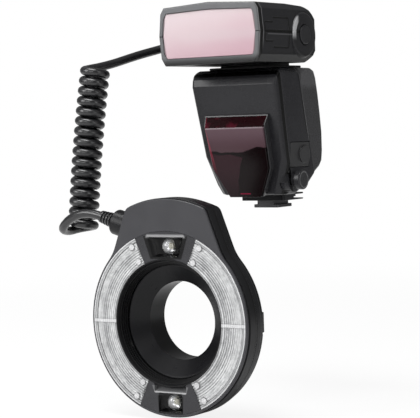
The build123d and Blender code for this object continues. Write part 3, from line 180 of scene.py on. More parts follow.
class Graph:
    """The node tree of one material, or of the world."""

    def __init__(self, name: str, world: bool = False) -> None:
        """Start an empty tree of this name."""
        self.owner = (bpy.data.worlds if world else bpy.data.materials).new(name)
        self.owner.use_nodes = True
        self.tree = self.owner.node_tree
        self.tree.nodes.clear()
        self._coords: Optional[Field] = None

    def node(
        self,
        kind: str,
        inputs: Optional[dict[Union[str, int], object]] = None,
        output: Union[str, int] = 0,
        **settings: str,
    ) -> Optional[Field]:
        """Add one node.

        Args:
            kind: Blender's type name of the node.
            inputs: Values or fields by socket name or number.
            output: The output that is wanted.
            settings: Attributes, set before the sockets.

        Returns:
            That output, or None for a node that ends the tree.
        """
        made = self.tree.nodes.new(kind)
        for key, value in settings.items():
            setattr(made, key, value)
        for key, value in (inputs or {}).items():
            if isinstance(value, Field):
                self.tree.links.new(value.socket, made.inputs[key])
            else:
                made.inputs[key].default_value = value
        return Field(self, made.outputs[output]) if made.outputs else None

    def coords(self) -> Field:
        """Object coordinates as a vector."""
        if self._coords is None:
            self._coords = self.node("ShaderNodeTexCoord", output="Object")
        return self._coords

    def place(self) -> tuple[Field, Field, Field]:
        """Object coordinates as three numbers."""
        split = self.node("ShaderNodeSeparateXYZ", {0: self.coords()})
        return tuple(Field(self, socket) for socket in split.socket.node.outputs)

    def vector(self, x: Value, y: Value, z: Value) -> Field:
        """Join three numbers to a vector."""
        return self.node("ShaderNodeCombineXYZ", {0: x, 1: y, 2: z})

    def noise(self, scale: float, detail: float = 2.0, vector: Optional[Field] = None) -> Field:
        """Noise from 0 to 1.

        Args:
            scale: Features per metre of the vector.
            detail: Octaves.
            vector: Where it is read, or None for object coordinates.

        Returns:
            The noise's value.
        """
        inputs = {"Vector": vector or self.coords(), "Scale": scale, "Detail": detail}
        return self.node("ShaderNodeTexNoise", inputs)

    def cells(self, scale: float) -> Field:
        """Distance from the nearest of many scattered points, for leather and moulding grain."""
        return self.node("ShaderNodeTexVoronoi", {"Vector": self.coords(), "Scale": scale})

    def mix(self, share: Value, low: Union[Colour, Field], high: Union[Colour, Field]) -> Field:
        """Mix two colours.

        Args:
            share: 0 gives low and 1 gives high.
            low: First colour.
            high: Second colour.

        Returns:
            The mixed colour.
        """
        inputs: dict[Union[str, int], object] = {0: share}
        for slot, colour in ((6, low), (7, high)):
            inputs[slot] = colour if isinstance(colour, Field) else (*colour, 1.0)
        return self.node("ShaderNodeMix", inputs, 2, data_type="RGBA")

    def paint(self, colour: Union[Colour, Field], *layers: tuple[Value, Colour]) -> Field:
        """Lay colours over one another.

        Args:
            colour: The ground.
            layers: Shares, each with the colour that it lays on.

        Returns:
            The painted colour.
        """
        for share, over in layers:
            colour = self.mix(share, colour, over)
        return colour

    def bump(self, height: Field, depth: float, under: Optional[Field] = None) -> Field:
        """Turn a height into a normal.

        Args:
            height: Height from 0 to 1.
            depth: Real height in metres that 1 stands for.
            under: A normal that this relief lies on.

        Returns:
            The bent normal.
        """
        inputs: dict[Union[str, int], object] = {"Height": height, "Distance": depth, "Strength": 1.0}
        if under is not None:
            inputs["Normal"] = under
        return self.node("ShaderNodeBump", inputs)

    def finish(self, **sockets: object) -> bpy.types.Material:
        """Close the material with a Principled surface.

        Args:
            sockets: Values by socket name, with _ for a space.

        Returns:
            The finished material.
        """
        inputs = {key.replace("_", " "): value for key, value in sockets.items()}
        surface = self.node("ShaderNodeBsdfPrincipled", inputs)
        self.node("ShaderNodeOutputMaterial", {0: surface})
        return self.owner


class Across(Enum):
    """The two axes that a mark is drawn on."""

    SIDE = (1, 2)
    FRONT = (0, 2)


class Mark(ABC):
    """A patch of a surface that looks different from the rest."""

    @abstractmethod
    def mask(self, place: Sequence[Field]) -> Field:
        """How strong the mark is at a point.

        Args:
            place: The three object coordinates.

        Returns:
            1 on the mark and 0 off it.
        """


@dataclass(frozen=True)
class Groove(Mark):
    """A rounded outline, or a filled bar where its line is 0, drawn in two axes."""

    across: Across
    centre: Pair
    half: Pair
    line: float
    corner: float
    keep: Optional[Pair] = None
    blur: float = 0.00012

    def mask(self, place: Sequence[Field]) -> Field:
        """Rounded rectangle, kept between two places of its first axis."""
        first, second = self.across.value
        du = abs(place[first] - self.centre[0]) - (self.half[0] - self.corner)
        dv = abs(place[second] - self.centre[1]) - (self.half[1] - self.corner)
        out_u, out_v = du.at_least(0.0), dv.at_least(0.0)
        distance = (out_u * out_u + out_v * out_v).root() + du.at_least(dv).at_most(0.0) - self.corner
        if self.line > 0:
            mask = abs(distance).rise(self.line / 2 + self.blur, self.line / 2 - self.blur)
        else:
            mask = distance.rise(self.blur, -self.blur)
        return mask if self.keep is None else mask * place[first].within(*self.keep, self.blur)


@dataclass(frozen=True)
class Arc(Mark):
    """Part of a ring round the tilt axis, seen from the side, where a painted highlight lies on the ear's
    rim.
    """

    inner: float
    outer: float
    ahead_of: float
    above: float
    blur: float = 0.0008
    fade: float = 0.003

    def mask(self, place: Sequence[Field]) -> Field:
        """Ring, which fades out at the back and below."""
        y, z = place[1] - PIVOT_Y, place[2] - PIVOT_Z
        radius = (y * y + z * z).root()
        band = radius.rise(self.inner, self.inner + self.blur)
        band = band * radius.rise(self.outer, self.outer - self.blur)
        ahead = place[1].rise(self.ahead_of, self.ahead_of - self.fade)
        return band * ahead * place[2].rise(self.above, self.above + 2 * self.fade)


@dataclass(frozen=True)
class Bowl(Mark):
    """A trapezium, seen from the front."""

    low: float
    high: float
    low_half: float
    high_half: float
    blur: float = 0.0003

    def mask(self, place: Sequence[Field]) -> Field:
        """Trapezium between two heights."""
        slope = (self.high_half - self.low_half) / (self.high - self.low)
        half = (place[2] - self.low) * slope + self.low_half
        beside = (abs(place[0]) - half).rise(self.blur, -self.blur)
        return beside * place[2].within(self.low, self.high, self.blur)


@dataclass(frozen=True)
class Slope(Mark):
    """The upper end of the right side, where a painted highlight stands for the light from above."""

    low: float
    high: float
    beside: float
    behind: float
    blur: float = 0.001

    def mask(self, place: Sequence[Field]) -> Field:
        """Right side, behind one line, growing stronger upwards."""
        side = place[0].rise(self.beside, self.beside + self.blur)
        behind = place[1].rise(self.behind, self.behind + 2 * self.blur)
        return side * behind * place[2].rise(self.low, self.high)


@dataclass(frozen=True)
class Seam(Mark):
    """A long line across a form, at the place where y - lean * z has one value."""

    start: float
    half: float
    share: float = 1.0
    lean: float = 0.0
    above: Optional[float] = None
    beside: Optional[float] = None
    soft: float = 0.25
    fade: float = 0.002

    def mask(self, place: Sequence[Field]) -> Field:
        """Line, kept above one height and to the right of one place."""
        behind = place[1] - place[2] * self.lean - self.start
        mask = abs(behind).rise(self.half * (1 + self.soft), self.half * (1 - self.soft)) * self.share
        if self.above is not None:
            mask = mask * place[2].rise(self.above, self.above + 4 * self.fade)
        if self.beside is not None:
            mask = mask * place[0].rise(self.beside, self.beside + self.fade)
        return mask


@dataclass(frozen=True)
class Finish(ABC):
    """One material, built from a few numbers."""

    name: str

    @abstractmethod
    def make(self, graph: Graph) -> bpy.types.Material:
        """Build the material.

        Args:
            graph: Its empty node tree.
        """


@dataclass(frozen=True)
class MouldedPlastic(Finish):
    """Moulded plastic with a fine grain, faint random changes of tone, cut marks, painted marks that
    include painted highlights and painted shade, and painted shade towards its underside.
    """

    colour: Colour
    roughness: float
    grain: float = 1700.0  # cells per metre
    grain_depth: float = 0.00004
    coat: float = 0.0
    cuts: tuple[Mark, ...] = ()
    cut_colour: Colour = grey(0.003)
    cut_depth: float = 0.0003
    painted: tuple[tuple[Mark, Colour], ...] = ()
    # Painted shade: the colour darkens downwards between these two heights, to the share in the next
    # field.
    painted_shade_below: Optional[Pair] = None  # heights between which the underside darkens
    painted_shade_share: float = 0.2
    cloud: float = 60.0
    contrast: Pair = (0.86, 1.18)
    index: float = 1.3

    def make(self, graph: Graph) -> bpy.types.Material:
        """Build the material."""
        place = graph.place()
        shade = graph.noise(self.cloud, 3.0)
        dull, bright = self.contrast
        colour = graph.mix(shade, scaled(self.colour, dull), scaled(self.colour, bright))
        grain = graph.cells(self.grain) * 0.7 + graph.noise(self.grain * 2) * 0.3
        normal = graph.bump(grain, self.grain_depth)
        if self.cuts:
            cut = self.cuts[0].mask(place)
            for mark in self.cuts[1:]:
                cut = cut.at_least(mark.mask(place))
            colour = graph.mix(cut, colour, self.cut_colour)
            normal = graph.bump(1 - cut, self.cut_depth, normal)
        # Painted shade: the colour darkens towards the underside.
        if self.painted_shade_below is not None:
            low = scaled(self.colour, self.painted_shade_share)
            colour = graph.mix(place[2].rise(*self.painted_shade_below), low, colour)
        colour = graph.paint(colour, *((mark.mask(place), tone) for mark, tone in self.painted))
        return graph.finish(
            Base_Color=colour,
            Roughness=self.roughness + (shade - 0.5) * 0.1 + (grain - 0.5) * 0.06,
            Normal=normal,
            IOR=self.index,
            Coat_Weight=self.coat,
            Coat_Roughness=0.25,
        )


@dataclass(frozen=True)
class SoftRubber(Finish):
    """Black rubber with a satin skin and a dusting of fine pores."""

    colour: Colour
    roughness: float
    cloud: float = 140.0
    pores: float = 2600.0
    pore_depth: float = 0.00003

    def make(self, graph: Graph) -> bpy.types.Material:
        """Build the material."""
        shade = graph.noise(self.cloud, 3.0)
        return graph.finish(
            Base_Color=graph.mix(shade, scaled(self.colour, 0.8), scaled(self.colour, 1.4)),
            Roughness=self.roughness + (shade - 0.5) * 0.14,
            Normal=graph.bump(graph.noise(self.pores), self.pore_depth),
            Coat_Weight=0.15,
            Coat_Roughness=0.2,
        )


@dataclass(frozen=True)
class Metal(Finish):
    """Bare, plated or anodised metal with fine lathe or brush lines."""

    colour: Colour
    roughness: float
    along: int = 2
    metallic: float = 1.0
    index: float = 1.45
    lines: float = 3200.0
    stretch: float = 0.04
    line_depth: float = 0.00001
    cloud: float = 90.0

    def make(self, graph: Graph) -> bpy.types.Material:
        """Build the material."""
        stretched = [p * (1.0 if i == self.along else self.stretch) for i, p in enumerate(graph.place())]
        brush = graph.noise(self.lines, 2.0, graph.vector(*stretched))
        shade = graph.noise(self.cloud, 3.0)
        return graph.finish(
            Base_Color=graph.mix(brush, scaled(self.colour, 0.82), scaled(self.colour, 1.12)),
            Metallic=self.metallic,
            IOR=self.index,
            Roughness=self.roughness + (shade - 0.5) * 0.12 + (brush - 0.5) * 0.08,
            Normal=graph.bump(brush, self.line_depth),
        )


@dataclass(frozen=True)
class RibbedCover(Finish):
    """Clear flash cover: fine ribs run round the ring, with white studs and a bar; the ribs' light and
    dark tone is a painted sheen, with a painted highlight on the outer edge and painted shadows round the
    studs.
    """

    side: int
    inner: float = 0.0381
    outer: float = 0.0545
    rib_pitch: float = 0.00145
    rib_depth: float = 0.00012
    fine_share: float = 0.37
    stud_radii: Pair = (0.04097, 0.05087)
    stud_angle: float = 61.5
    stud_size: float = 0.0019
    bar_half: float = 0.0011
    # ends of the painted sheen across each rib
    trough: Colour = (0.2, 0.205, 0.21)
    crest: Colour = (0.66, 0.665, 0.67)
    white: Colour = grey(0.7, 0.01)

    def spots(self, place: Sequence[Field]) -> tuple[Field, Field]:
        """The bar and the studs.

        Args:
            place: Object coordinates across the ring, from its axis.

        Returns:
            Masks of the white forms and of the dark rims round them; the rims are painted shadows.
        """
        x, w = place
        white = abs(w).rise(self.bar_half, self.bar_half * 0.7)
        rim = abs(w).rise(self.bar_half * 1.5, self.bar_half * 1.1) * 0.5
        angle = math.radians(self.stud_angle)
        for turn in (1, -1):
            for reach in self.stud_radii:
                beside = x - self.side * reach * math.cos(angle)
                above = w - turn * reach * math.sin(angle)
                away = (beside * beside + above * above).root()
                white = white.at_least(away.rise(self.stud_size, self.stud_size * 0.82))
                rim = rim.at_least(away.rise(self.stud_size * 1.35, self.stud_size * 1.1))
        return white, rim

    def make(self, graph: Graph) -> bpy.types.Material:
        """Build the material."""
        x, _, z = graph.place()
        w = z - RING_AXIS_Z
        radius = (x * x + w * w).root()
        angle = w.angle_to(x * self.side)
        rib = radius.wave(self.rib_pitch) * 0.5 + 0.5
        fine = radius.wave(self.rib_pitch * self.fine_share) * 0.5 + 0.5
        spots = graph.noise(1.0, 2.0, graph.vector(radius * 700.0, angle * 14.0, 0.0))
        cloud = graph.noise(1.0, 2.0, graph.vector(radius * 160.0, angle * 5.0, 3.0))
        streak = (spots * 0.55 + cloud * 0.45).rise(0.3, 0.7)
        inset = self.outer - radius
        smooth = inset.rise(0.0075, 0.0060) * inset.rise(0.0022, 0.0028)
        # Painted sheen: light crests and dark troughs of the ribs, streaks, and a lighter smooth band.
        painted_rib_sheen = rib * 0.5 * (1 - smooth * 0.75) + fine * 0.06 + streak * 0.3 + smooth * 0.3
        white, rim = self.spots((x, w))
        colour = graph.paint(
            graph.mix(painted_rib_sheen.rise(0.0, 0.85), self.trough, self.crest),
            (inset.rise(0.0024, 0.0020) * 0.5, (0.3, 0.305, 0.31)),
            (inset.near(0.0023, 0.00015, 0.00035) * 0.8, grey(0.05, 0.002)),
            # painted highlight along the outer edge
            (inset.rise(0.0006, 0.0003) * 0.8, grey(0.75, 0.01)),
            ((radius - self.inner).rise(0.0009, 0.0004) * 0.6, grey(0.1, 0.005)),
            # painted shadows round the studs
            (rim * 0.7, grey(0.16, 0.005)),
            (white * 0.8, self.white),
        )
        return graph.finish(
            Base_Color=colour,
            Roughness=0.2 + (1 - rib) * 0.15,
            Alpha=0.72 + painted_rib_sheen.rise(0.2, 1.0) * 0.26,
            Normal=graph.bump(rib, self.rib_depth),
            Coat_Weight=0.6,
            Coat_Roughness=0.06,
        )


@dataclass(frozen=True)
class DiffuserPanel(Finish):
    """Pale pink diffuser of the head, with a fine grid of lens dots behind its face, painted shading that
    is lighter towards the top and the left, and a painted highlight band at mid height.
    """

    # light and deep are the ends of the painted shading; pale is the painted highlight band; dot is the
    # lens dots' own tone
    light: Colour = (0.52, 0.43, 0.447)
    deep: Colour = (0.4, 0.235, 0.278)
    pale: Colour = (0.47, 0.4, 0.42)
    dot: Colour = (0.58, 0.51, 0.53)
    dot_pitch: float = 0.0011
    dot_depth: float = 0.00004
    half_width: float = 0.037
    low_z: float = 0.0915
    high_z: float = 0.1295
    side_x: float = 0.0336
    crown_z: float = 0.1245
    foot_z: float = 0.0962
    middle_z: float = 0.1099
    blur: float = 0.0002

    def edge(self, x: Field, z: Field) -> Field:
        """Mask of the dark line where the panel meets its frame."""
        side = (abs(x) + abs(z - self.middle_z) * 0.14 - self.side_x).rise(-self.blur, self.blur)
        crown = (z + abs(x) * 0.035 - self.crown_z).rise(-self.blur, self.blur)
        return side.at_least(crown).at_least((z - self.foot_z).rise(self.blur, -self.blur))

    def make(self, graph: Graph) -> bpy.types.Material:
        """Build the material."""
        x, _, z = graph.place()
        across = x / self.half_width
        up = (z - self.low_z) * (1 / (self.high_z - self.low_z))
        cloud = (graph.noise(30.0) - 0.5) * 0.22
        # Painted shading: lighter towards the top and the left.
        share = (up * 0.85 - across * 0.16 + 0.08 + cloud).rise(-0.05, 0.95)
        dots = x.wave(self.dot_pitch) * z.wave(self.dot_pitch) * 0.5 + 0.5
        colour = graph.paint(
            graph.mix(share, self.deep, self.light),
            # painted highlight band at mid height
            (up.near(0.46, 0.0, 0.16) * across.rise(-1.0, -0.2) * 0.32, self.pale),
            (dots * 0.1, self.dot),
            (self.edge(x, z) * 0.75, (0.05, 0.03, 0.035)),
        )
        return graph.finish(
            Base_Color=colour,
            Roughness=0.24 + dots * 0.08,
            Normal=graph.bump(dots, self.dot_depth),
            Coat_Weight=0.35,
            Coat_Roughness=0.12,
        )


@dataclass(frozen=True)
class RedWindow(Finish):
    """Dark red focusing window: a painted reflection lightens its upper half over the lamp's black
    housing, with painted highlights on its top lip and left rim and a painted glint.
    """

    face_top: float = 0.0517
    edge_z: float = 0.0372
    side_x: float = 0.0213
    glint_z: float = 0.0102
    # ends of the painted reflection in the upper half
    painted_reflection_low: Colour = (0.07, 0.038, 0.046)
    painted_reflection_high: Colour = (0.105, 0.062, 0.076)
    housing: Colour = (0.003, 0.0001, 0.0006)
    housing_left: Colour = (0.024, 0.007, 0.011)
    roof: Colour = (0.012, 0.0008, 0.002)
    roof_red: Colour = (0.07, 0.004, 0.012)
    # painted highlights on the top lip and the left rim, and a painted glint
    lip: Colour = (0.3, 0.24, 0.26)
    rim: Colour = (0.32, 0.03, 0.06)
    glint: Colour = (0.2, 0.004, 0.03)

    def make(self, graph: Graph) -> bpy.types.Material:
        """Build the material."""
        x, _, z = graph.place()
        ripple = (graph.noise(95.0) - 0.5) * 0.004
        over_edge = z + ripple - x.rise(0.004, 0.016) * 0.0025 - self.edge_z
        sway = (graph.noise(60.0) - 0.5) * 0.008
        left = (x + sway + (self.edge_z - z) * 0.35).rise(0.0045, 0.0037)
        dip = (over_edge + x.rise(-0.008, 0.004) * 0.0018).rise(-0.0012, -0.0022)
        lower = graph.mix(left * dip * z.rise(-0.004, 0.03), self.housing, self.housing_left)
        # Painted reflection: the upper half is lighter, above a wavy edge.
        painted_reflection = graph.mix(z.rise(self.edge_z, self.face_top), self.painted_reflection_low, self.painted_reflection_high)
        roof = (z - self.face_top).rise(0.0002, 0.0006)
        side = abs(x) - self.side_x + (self.face_top - z) * 0.12
        rim = side.rise(-0.0004, 0.0) * x.rise(0.0, -0.001) * z.rise(0.02, 0.04)
        glint = z.near(self.glint_z, 0.0002, 0.0005) * x.near(0.0005, 0.0034, 0.0042)
        colour = graph.paint(
            graph.mix(over_edge.rise(-0.0004, 0.0004), lower, painted_reflection),
            (roof, self.roof),
            (roof * graph.noise(150.0, 1.0).rise(0.5, 0.7) * 0.8, self.roof_red),
            # painted highlights on the lip and the left rim, and a painted glint
            (z.near(self.face_top, 0.0002, 0.0005) * 0.7, self.lip),
            (rim * 0.45, self.rim),
            (glint, self.glint),
        )
        return graph.finish(Base_Color=colour, Roughness=0.16 + graph.noise(400.0) * 0.05, IOR=1.26)


@dataclass(frozen=True)
class ClearGlass(Finish):
    """Clear glass or polycarbonate with faint moulding ripples."""

    tint: Colour = (0.95, 0.96, 0.97)
    roughness: float = 0.05
    ripple: float = 260.0
    ripple_depth: float = 0.00002

    def make(self, graph: Graph) -> bpy.types.Material:
        """Build the material."""
        wave = graph.noise(self.ripple)
        return graph.finish(
            Base_Color=graph.mix(wave, scaled(self.tint, 0.9), self.tint),
            Roughness=self.roughness + wave * 0.05,
            Transmission_Weight=0.9,
            IOR=1.46,
            Normal=graph.bump(wave, self.ripple_depth),
            Coat_Weight=0.5,
            Coat_Roughness=0.05,
        )


@dataclass(frozen=True)
class DisplayPane(Finish):
    """Switched-off display: a dark glossy border round a grey-green field."""

    pane: Groove = Groove(Across.FRONT, (0.0, 0.0655), (0.018, 0.0085), 0.0, 0.001)
    pixel_pitch: float = 0.0006
    border: Colour = grey(0.006, 0.001)

    def make(self, graph: Graph) -> bpy.types.Material:
        """Build the material."""
        place = graph.place()
        pane = self.pane.mask(place)
        pixels = place[0].wave(self.pixel_pitch) * place[2].wave(self.pixel_pitch) * 0.5 + 0.5
        lit = graph.mix(pixels, (0.085, 0.1, 0.085), (0.1, 0.118, 0.1))
        return graph.finish(
            Base_Color=graph.mix(pane, self.border, lit),
            Roughness=0.1 + pane * 0.12,
            Coat_Weight=0.8,
            Coat_Roughness=0.04,
        )


@dataclass(frozen=True)
class Skin:
    """What some nodes of the frame wear, their names parted by spaces."""

    finish: str
    nodes: str
    bevel: float = 0.0
    slot: str = "black_plastic"


class Wardrobe:
    """All finishes by name, made once each."""

    def __init__(self, finishes: Sequence[Finish]) -> None:
        """Make every finish's material."""
        self.materials = {f.name: f.make(Graph(f.name)) for f in finishes}

    def put_on(self, piece: Piece, finish: str) -> None:
        """Give a piece one finish.

        Args:
            piece: Any mesh or curve.
            finish: The finish's name.
        """
        piece.data.materials.clear()
        piece.data.materials.append(self.materials[finish])


def link_object(name: str, data: bpy.types.ID) -> Piece:
    """Put a new object with this data into the scene."""
    made = bpy.data.objects.new(name, data)
    bpy.context.scene.collection.objects.link(made)
    return made


def new_piece(name: str, shape: bmesh.types.BMesh, angle: float = CRISP_ANGLE) -> Piece:
    """Turn a bmesh into a smooth-shaded object at the origin.

    Args:
        name: The piece's name.
        shape: Its mesh, freed afterwards.
        angle: Edges sharper than this stay crisp, in degrees.

    Returns:
        The new object.
    """
    mesh = bpy.data.meshes.new(name)
    shape.to_mesh(mesh)
    shape.free()
    mesh.shade_smooth()
    mesh.set_sharp_from_angle(angle=math.radians(angle))
    return link_object(name, mesh)


def soften_edges(piece: Piece, width: float) -> None:
    """Round a piece's crisp edges with a modifier of this width."""
    bevel = piece.modifiers.new("soft_edges", "BEVEL")
    bevel.width = width
    bevel.segments = 2
    bevel.limit_method = "ANGLE"
    bevel.angle_limit = math.radians(BEVEL_ANGLE)
    bevel.use_clamp_overlap = False
    bevel.harden_normals = True


def dressed_copy(node: str, skin: Skin, wardrobe: Wardrobe) -> None:
    """Stand a smooth, edge-softened copy in for one node, riding on its body.

    Args:
        node: The node.
        skin: What it wears.
        wardrobe: The finishes.
    """
    source = frame["nodes"][node]
    shape = bmesh.new()
    shape.from_mesh(source.data)
    bmesh.ops.remove_doubles(shape, verts=shape.verts, dist=WELD)
    flat = math.radians(FLAT_ANGLE)
    bmesh.ops.dissolve_limit(shape, angle_limit=flat, verts=shape.verts, edges=shape.edges)
    piece = new_piece(node + ".skin", shape)
    if skin.bevel > 0:
        soften_edges(piece, skin.bevel)
    flats = piece.modifiers.new("flat_faces", "WEIGHTED_NORMAL")
    flats.keep_sharp = True
    wardrobe.put_on(piece, skin.finish)
    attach(piece, source["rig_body"])
    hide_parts(node)


def spun_piece(
    name: str, profile: Sequence[Pair], centre: Vector, axis: Vector, steps: int = FINE_STEPS
) -> Piece:
    """Spin a closed profile about an axis.

    Args:
        name: The piece's name.
        profile: Points as (radius, height along the axis).
        centre: Where the axis starts.
        axis: Its direction.
        steps: Faces round it.

    Returns:
        The new object.
    """
    along = axis.normalized()
    out = along.orthogonal().normalized()
    shape = bmesh.new()
    points = [shape.verts.new(centre + out * r + along * h) for r, h in profile]
    edges = [shape.edges.new((a, b)) for a, b in zip(points, points[1:] + points[:1])]
    geometry = points + edges
    bmesh.ops.spin(shape, geom=geometry, cent=centre, axis=along, angle=TURN, steps=steps, use_merge=True)
    bmesh.ops.remove_doubles(shape, verts=shape.verts, dist=SPUN_WELD)
    bmesh.ops.dissolve_degenerate(shape, edges=shape.edges, dist=SLIVER)
    bmesh.ops.recalc_face_normals(shape, faces=shape.faces)
    return new_piece(name, shape, SPUN_ANGLE)


@dataclass
class SubAssembly:
    """Pieces that belong together, dressed in their finishes."""

    wardrobe: Wardrobe
    skins: tuple[Skin, ...] = ()

    def build(self) -> None:
        """Dress every listed node, then make the new pieces."""
        for skin in self.skins:
            for node in skin.nodes.split():
                dressed_copy(node, skin, self.wardrobe)
        self.make_pieces()
        log.info("%s built", type(self).__name__)

    def make_pieces(self) -> None:
        """Make the pieces that the frame has no node for; none by default."""

    def add(self, piece: Piece, finish: str, body: str, slot: str) -> None:
        """Finish a new piece and let it ride.

        Args:
            piece: The piece.
            finish: The finish's name.
            body: The body that carries it.
            slot: The record's material slot; not used.
        """
        self.wardrobe.put_on(piece, finish)
        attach(piece, body)


@dataclass
class CurlyCord(SubAssembly):
    """The cord: a short run out of the head, fifteen turns, and a loop into the ring."""

    diameter: float = 0.0055
    coil_top: Point = (-0.080, -0.079, 0.0913)
    coil_bottom: Point = (-0.0835, -0.092, -0.0033)
    bow: float = 0.0015
    turns: float = 15.0
    mean_radius: float = 0.0069
    spline_swell: float = 1.02
    first_angle: float = 156.0
    lead_in: float = 58.0
    last_angle: float = 170.0
    points_per_turn: int = 16
    foot_run: float = 0.0065
    head_run: float = 0.012
    relief_run: float = 0.008
    upper_points: tuple[Point, ...] = (
        (-0.0440, -0.0165, 0.1085),
        (-0.0560, -0.0165, 0.1085),
        (-0.0670, -0.0265, 0.1044),
        (-0.0730, -0.0430, 0.1006),
    )
    lower_points: tuple[Point, ...] = (
        (-0.0886, -0.1082, -0.0076),
        (-0.0805, -0.1110, -0.0014),
        (-0.0706, -0.1122, 0.0024),
    )
    relief_root: Point = (-0.033, -0.112, -0.005)
    relief_reach: float = 0.0215
    relief_tilt: float = 15.6
    inward: Point = (0.68, 0.0, -0.73)  # from the coil to the ring's axis
    rounding: int = 5
    upper_steps: int = 12
    coil_steps: int = 3

    def coil_point(self, turn: float) -> Vector:
        """Point of the winding.

        Args:
            turn: Turns from the coil's upper end.

        Returns:
            The control point there.
        """
        share = (turn - self.lead_in / 360) / self.turns
        centre = Vector(self.coil_top).lerp(Vector(self.coil_bottom), share)
        bow = 4 * self.bow * share * (1 - share)
        angle = math.radians(self.first_angle) + TURN * turn
        radius = self.mean_radius * self.spline_swell
        return centre + Vector((radius * math.cos(angle), radius * math.sin(angle) - bow, 0.0))

    def total_turns(self) -> float:
        """Turns from end to end."""
        return self.turns + 1 + (self.last_angle - self.first_angle) / 360

    def direction(self, turn: float) -> Vector:
        """Direction of the winding, downwards."""
        step = 0.0005
        return (self.coil_point(turn + step) - self.coil_point(turn - step)).normalized()

    def relief_tip(self, beyond: float = 0.0) -> Vector:
        """Tip of the ring's strain relief, or a point further out on its axis."""
        tilt = math.radians(self.relief_tilt)
        outward = Vector((-math.cos(tilt), 0.0, math.sin(tilt)))
        return Vector(self.relief_root) + outward * (self.relief_reach + beyond)

    def upper_route(self) -> list[Vector]:
        """Control points from the head's gland to the coil."""
        start = self.coil_point(0.0)
        ends = [start - self.direction(0.0) * self.head_run, start]
        return [Vector(p) for p in self.upper_points] + ends

    def lower_route(self) -> list[Vector]:
        """Control points of the winding and the loop into the ring."""
        total = self.total_turns()
        count = round(total * self.points_per_turn)
        route = [self.coil_point(total * i / count) for i in range(count + 1)]
        route.append(route[-1] + self.direction(total) * self.foot_run)
        route += [Vector(p) for p in self.lower_points]
        return route + [self.relief_tip(self.relief_run), self.relief_tip()]

    def spline(self, name: str, route: list[Vector], bevel: float, resolution: int) -> Piece:
        """Curve of one open NURBS spline.

        Args:
            name: The curve's name.
            route: Its control points.
            bevel: Radius of the tube, or 0 for a bare line.
            resolution: Steps for each control point.

        Returns:
            The curve object.
        """
        data = bpy.data.curves.new(name, "CURVE")
        data.dimensions = "3D"
        data.resolution_u = resolution
        line = data.splines.new("NURBS")
        line.points.add(len(route) - 1)
        for point, place in zip(line.points, route):
            point.co = (*place, 1.0)
        line.order_u = 3
        line.use_endpoint_u = True
        data.bevel_depth = bevel
        data.bevel_resolution = self.rounding
        return link_object(name, data)

    def lay_run(self, name: str, route: list[Vector], resolution: int, lay: str, *nodes: str) -> CordRun:
        """Args:
            name: The piece's name.
            route: The spline's control points.
            resolution: Steps for each control point.
            lay: How it lies; not used.
            nodes: The nodes that it stands for.

        Returns:
            The piece and the points of its centre line.
        """
        meshes = []
        for bevel in (0.0, self.diameter / 2):
            curve = self.spline(name + "_line", route, bevel, resolution)
            bpy.context.view_layer.update()
            evaluated = curve.evaluated_get(bpy.context.evaluated_depsgraph_get())
            meshes.append(bpy.data.meshes.new_from_object(evaluated))
            bpy.data.objects.remove(curve)
        line, skin = meshes
        path = [v.co.copy() for v in line.vertices]
        shape = bmesh.new()
        shape.from_mesh(skin)
        bmesh.ops.recalc_face_normals(shape, faces=shape.faces)
        piece = new_piece(name, shape, TUBE_ANGLE)
        self.wardrobe.put_on(piece, "cord_rubber")
        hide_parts(*nodes)
        return piece, path

    def make_pieces(self) -> None:
        """Make both lengths of the cord."""
        route, steps = self.upper_route(), self.upper_steps
        upper, path = self.lay_run("cord_upper_run", route, steps, "hanging", "cord_upper")
        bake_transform(upper)
        route, steps = self.lower_route(), self.coil_steps
        coil, _ = self.lay_run("cord_curl", route, steps, "coiled", "cord_coil", "cord_lower")
        inward = Vector(self.inward).normalized()
        start = Vector(self.coil_top) + inward * self.mean_radius
        reach = (self.relief_tip() - start).dot(inward)
        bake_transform(coil)


@dataclass
class LampRing(SubAssembly):
    """The lamp ring: shells, ribbed covers, focusing lamps, slides and adapter."""

    lamp_heights: Pair = (0.0452, -0.0476)
    cup_radius: float = 0.0043
    cup_depth: float = 0.0022
    cup_wall: float = 0.00025
    lens_back: float = 0.0071
    chip_half: float = 0.0011
    chip_share: float = 0.35  # of its width, along the ring's axis
    chip_ahead: float = 0.0006
    chip_edge: float = 0.0002

    def lamp_cup(self, name: str, height: float) -> None:
        """Bright cup and lamp chip behind a focusing lens.

        Args:
            name: Name's ending.
            height: Height of the lamp above the ring's axis.
        """
        centre = Vector((0.0, RING_FRONT_Y + self.lens_back, RING_AXIS_Z + height))
        front = [(0.0008, -0.0001), (0.0020, -0.0003), (0.0033, -0.0011)]
        rim = [(self.cup_radius, -self.cup_depth), (self.cup_radius + self.cup_wall, -self.cup_depth)]
        back = [(0.0036, -0.0008), (0.0022, 0.0), (0.0008, 0.0002)]
        profile, along = front + rim + back, Vector((0.0, 1.0, 0.0))
        cup = spun_piece("lamp_cup_" + name, profile, centre, along, SMALL_STEPS)
        self.add(cup, "cup_chrome", "lamp_ring", "reflector")
        chip = bmesh.new()
        bmesh.ops.create_cube(chip, size=2 * self.chip_half)
        bmesh.ops.scale(chip, vec=(1.0, self.chip_share, 1.0), verts=chip.verts)
        bmesh.ops.translate(chip, vec=centre - Vector((0.0, self.chip_ahead, 0.0)), verts=chip.verts)
        bmesh.ops.bevel(
            chip, geom=chip.edges[:], offset=self.chip_edge, segments=2, affect="EDGES",
            profile=0.5, material=-1,
        )
        self.add(new_piece("lamp_chip_" + name, chip), "lamp_chip", "lamp_ring", "board")

    def make_pieces(self) -> None:
        """Add the lamps' insides."""
        for name, height in zip(("top", "bottom"), self.lamp_heights):
            self.lamp_cup(name, height)


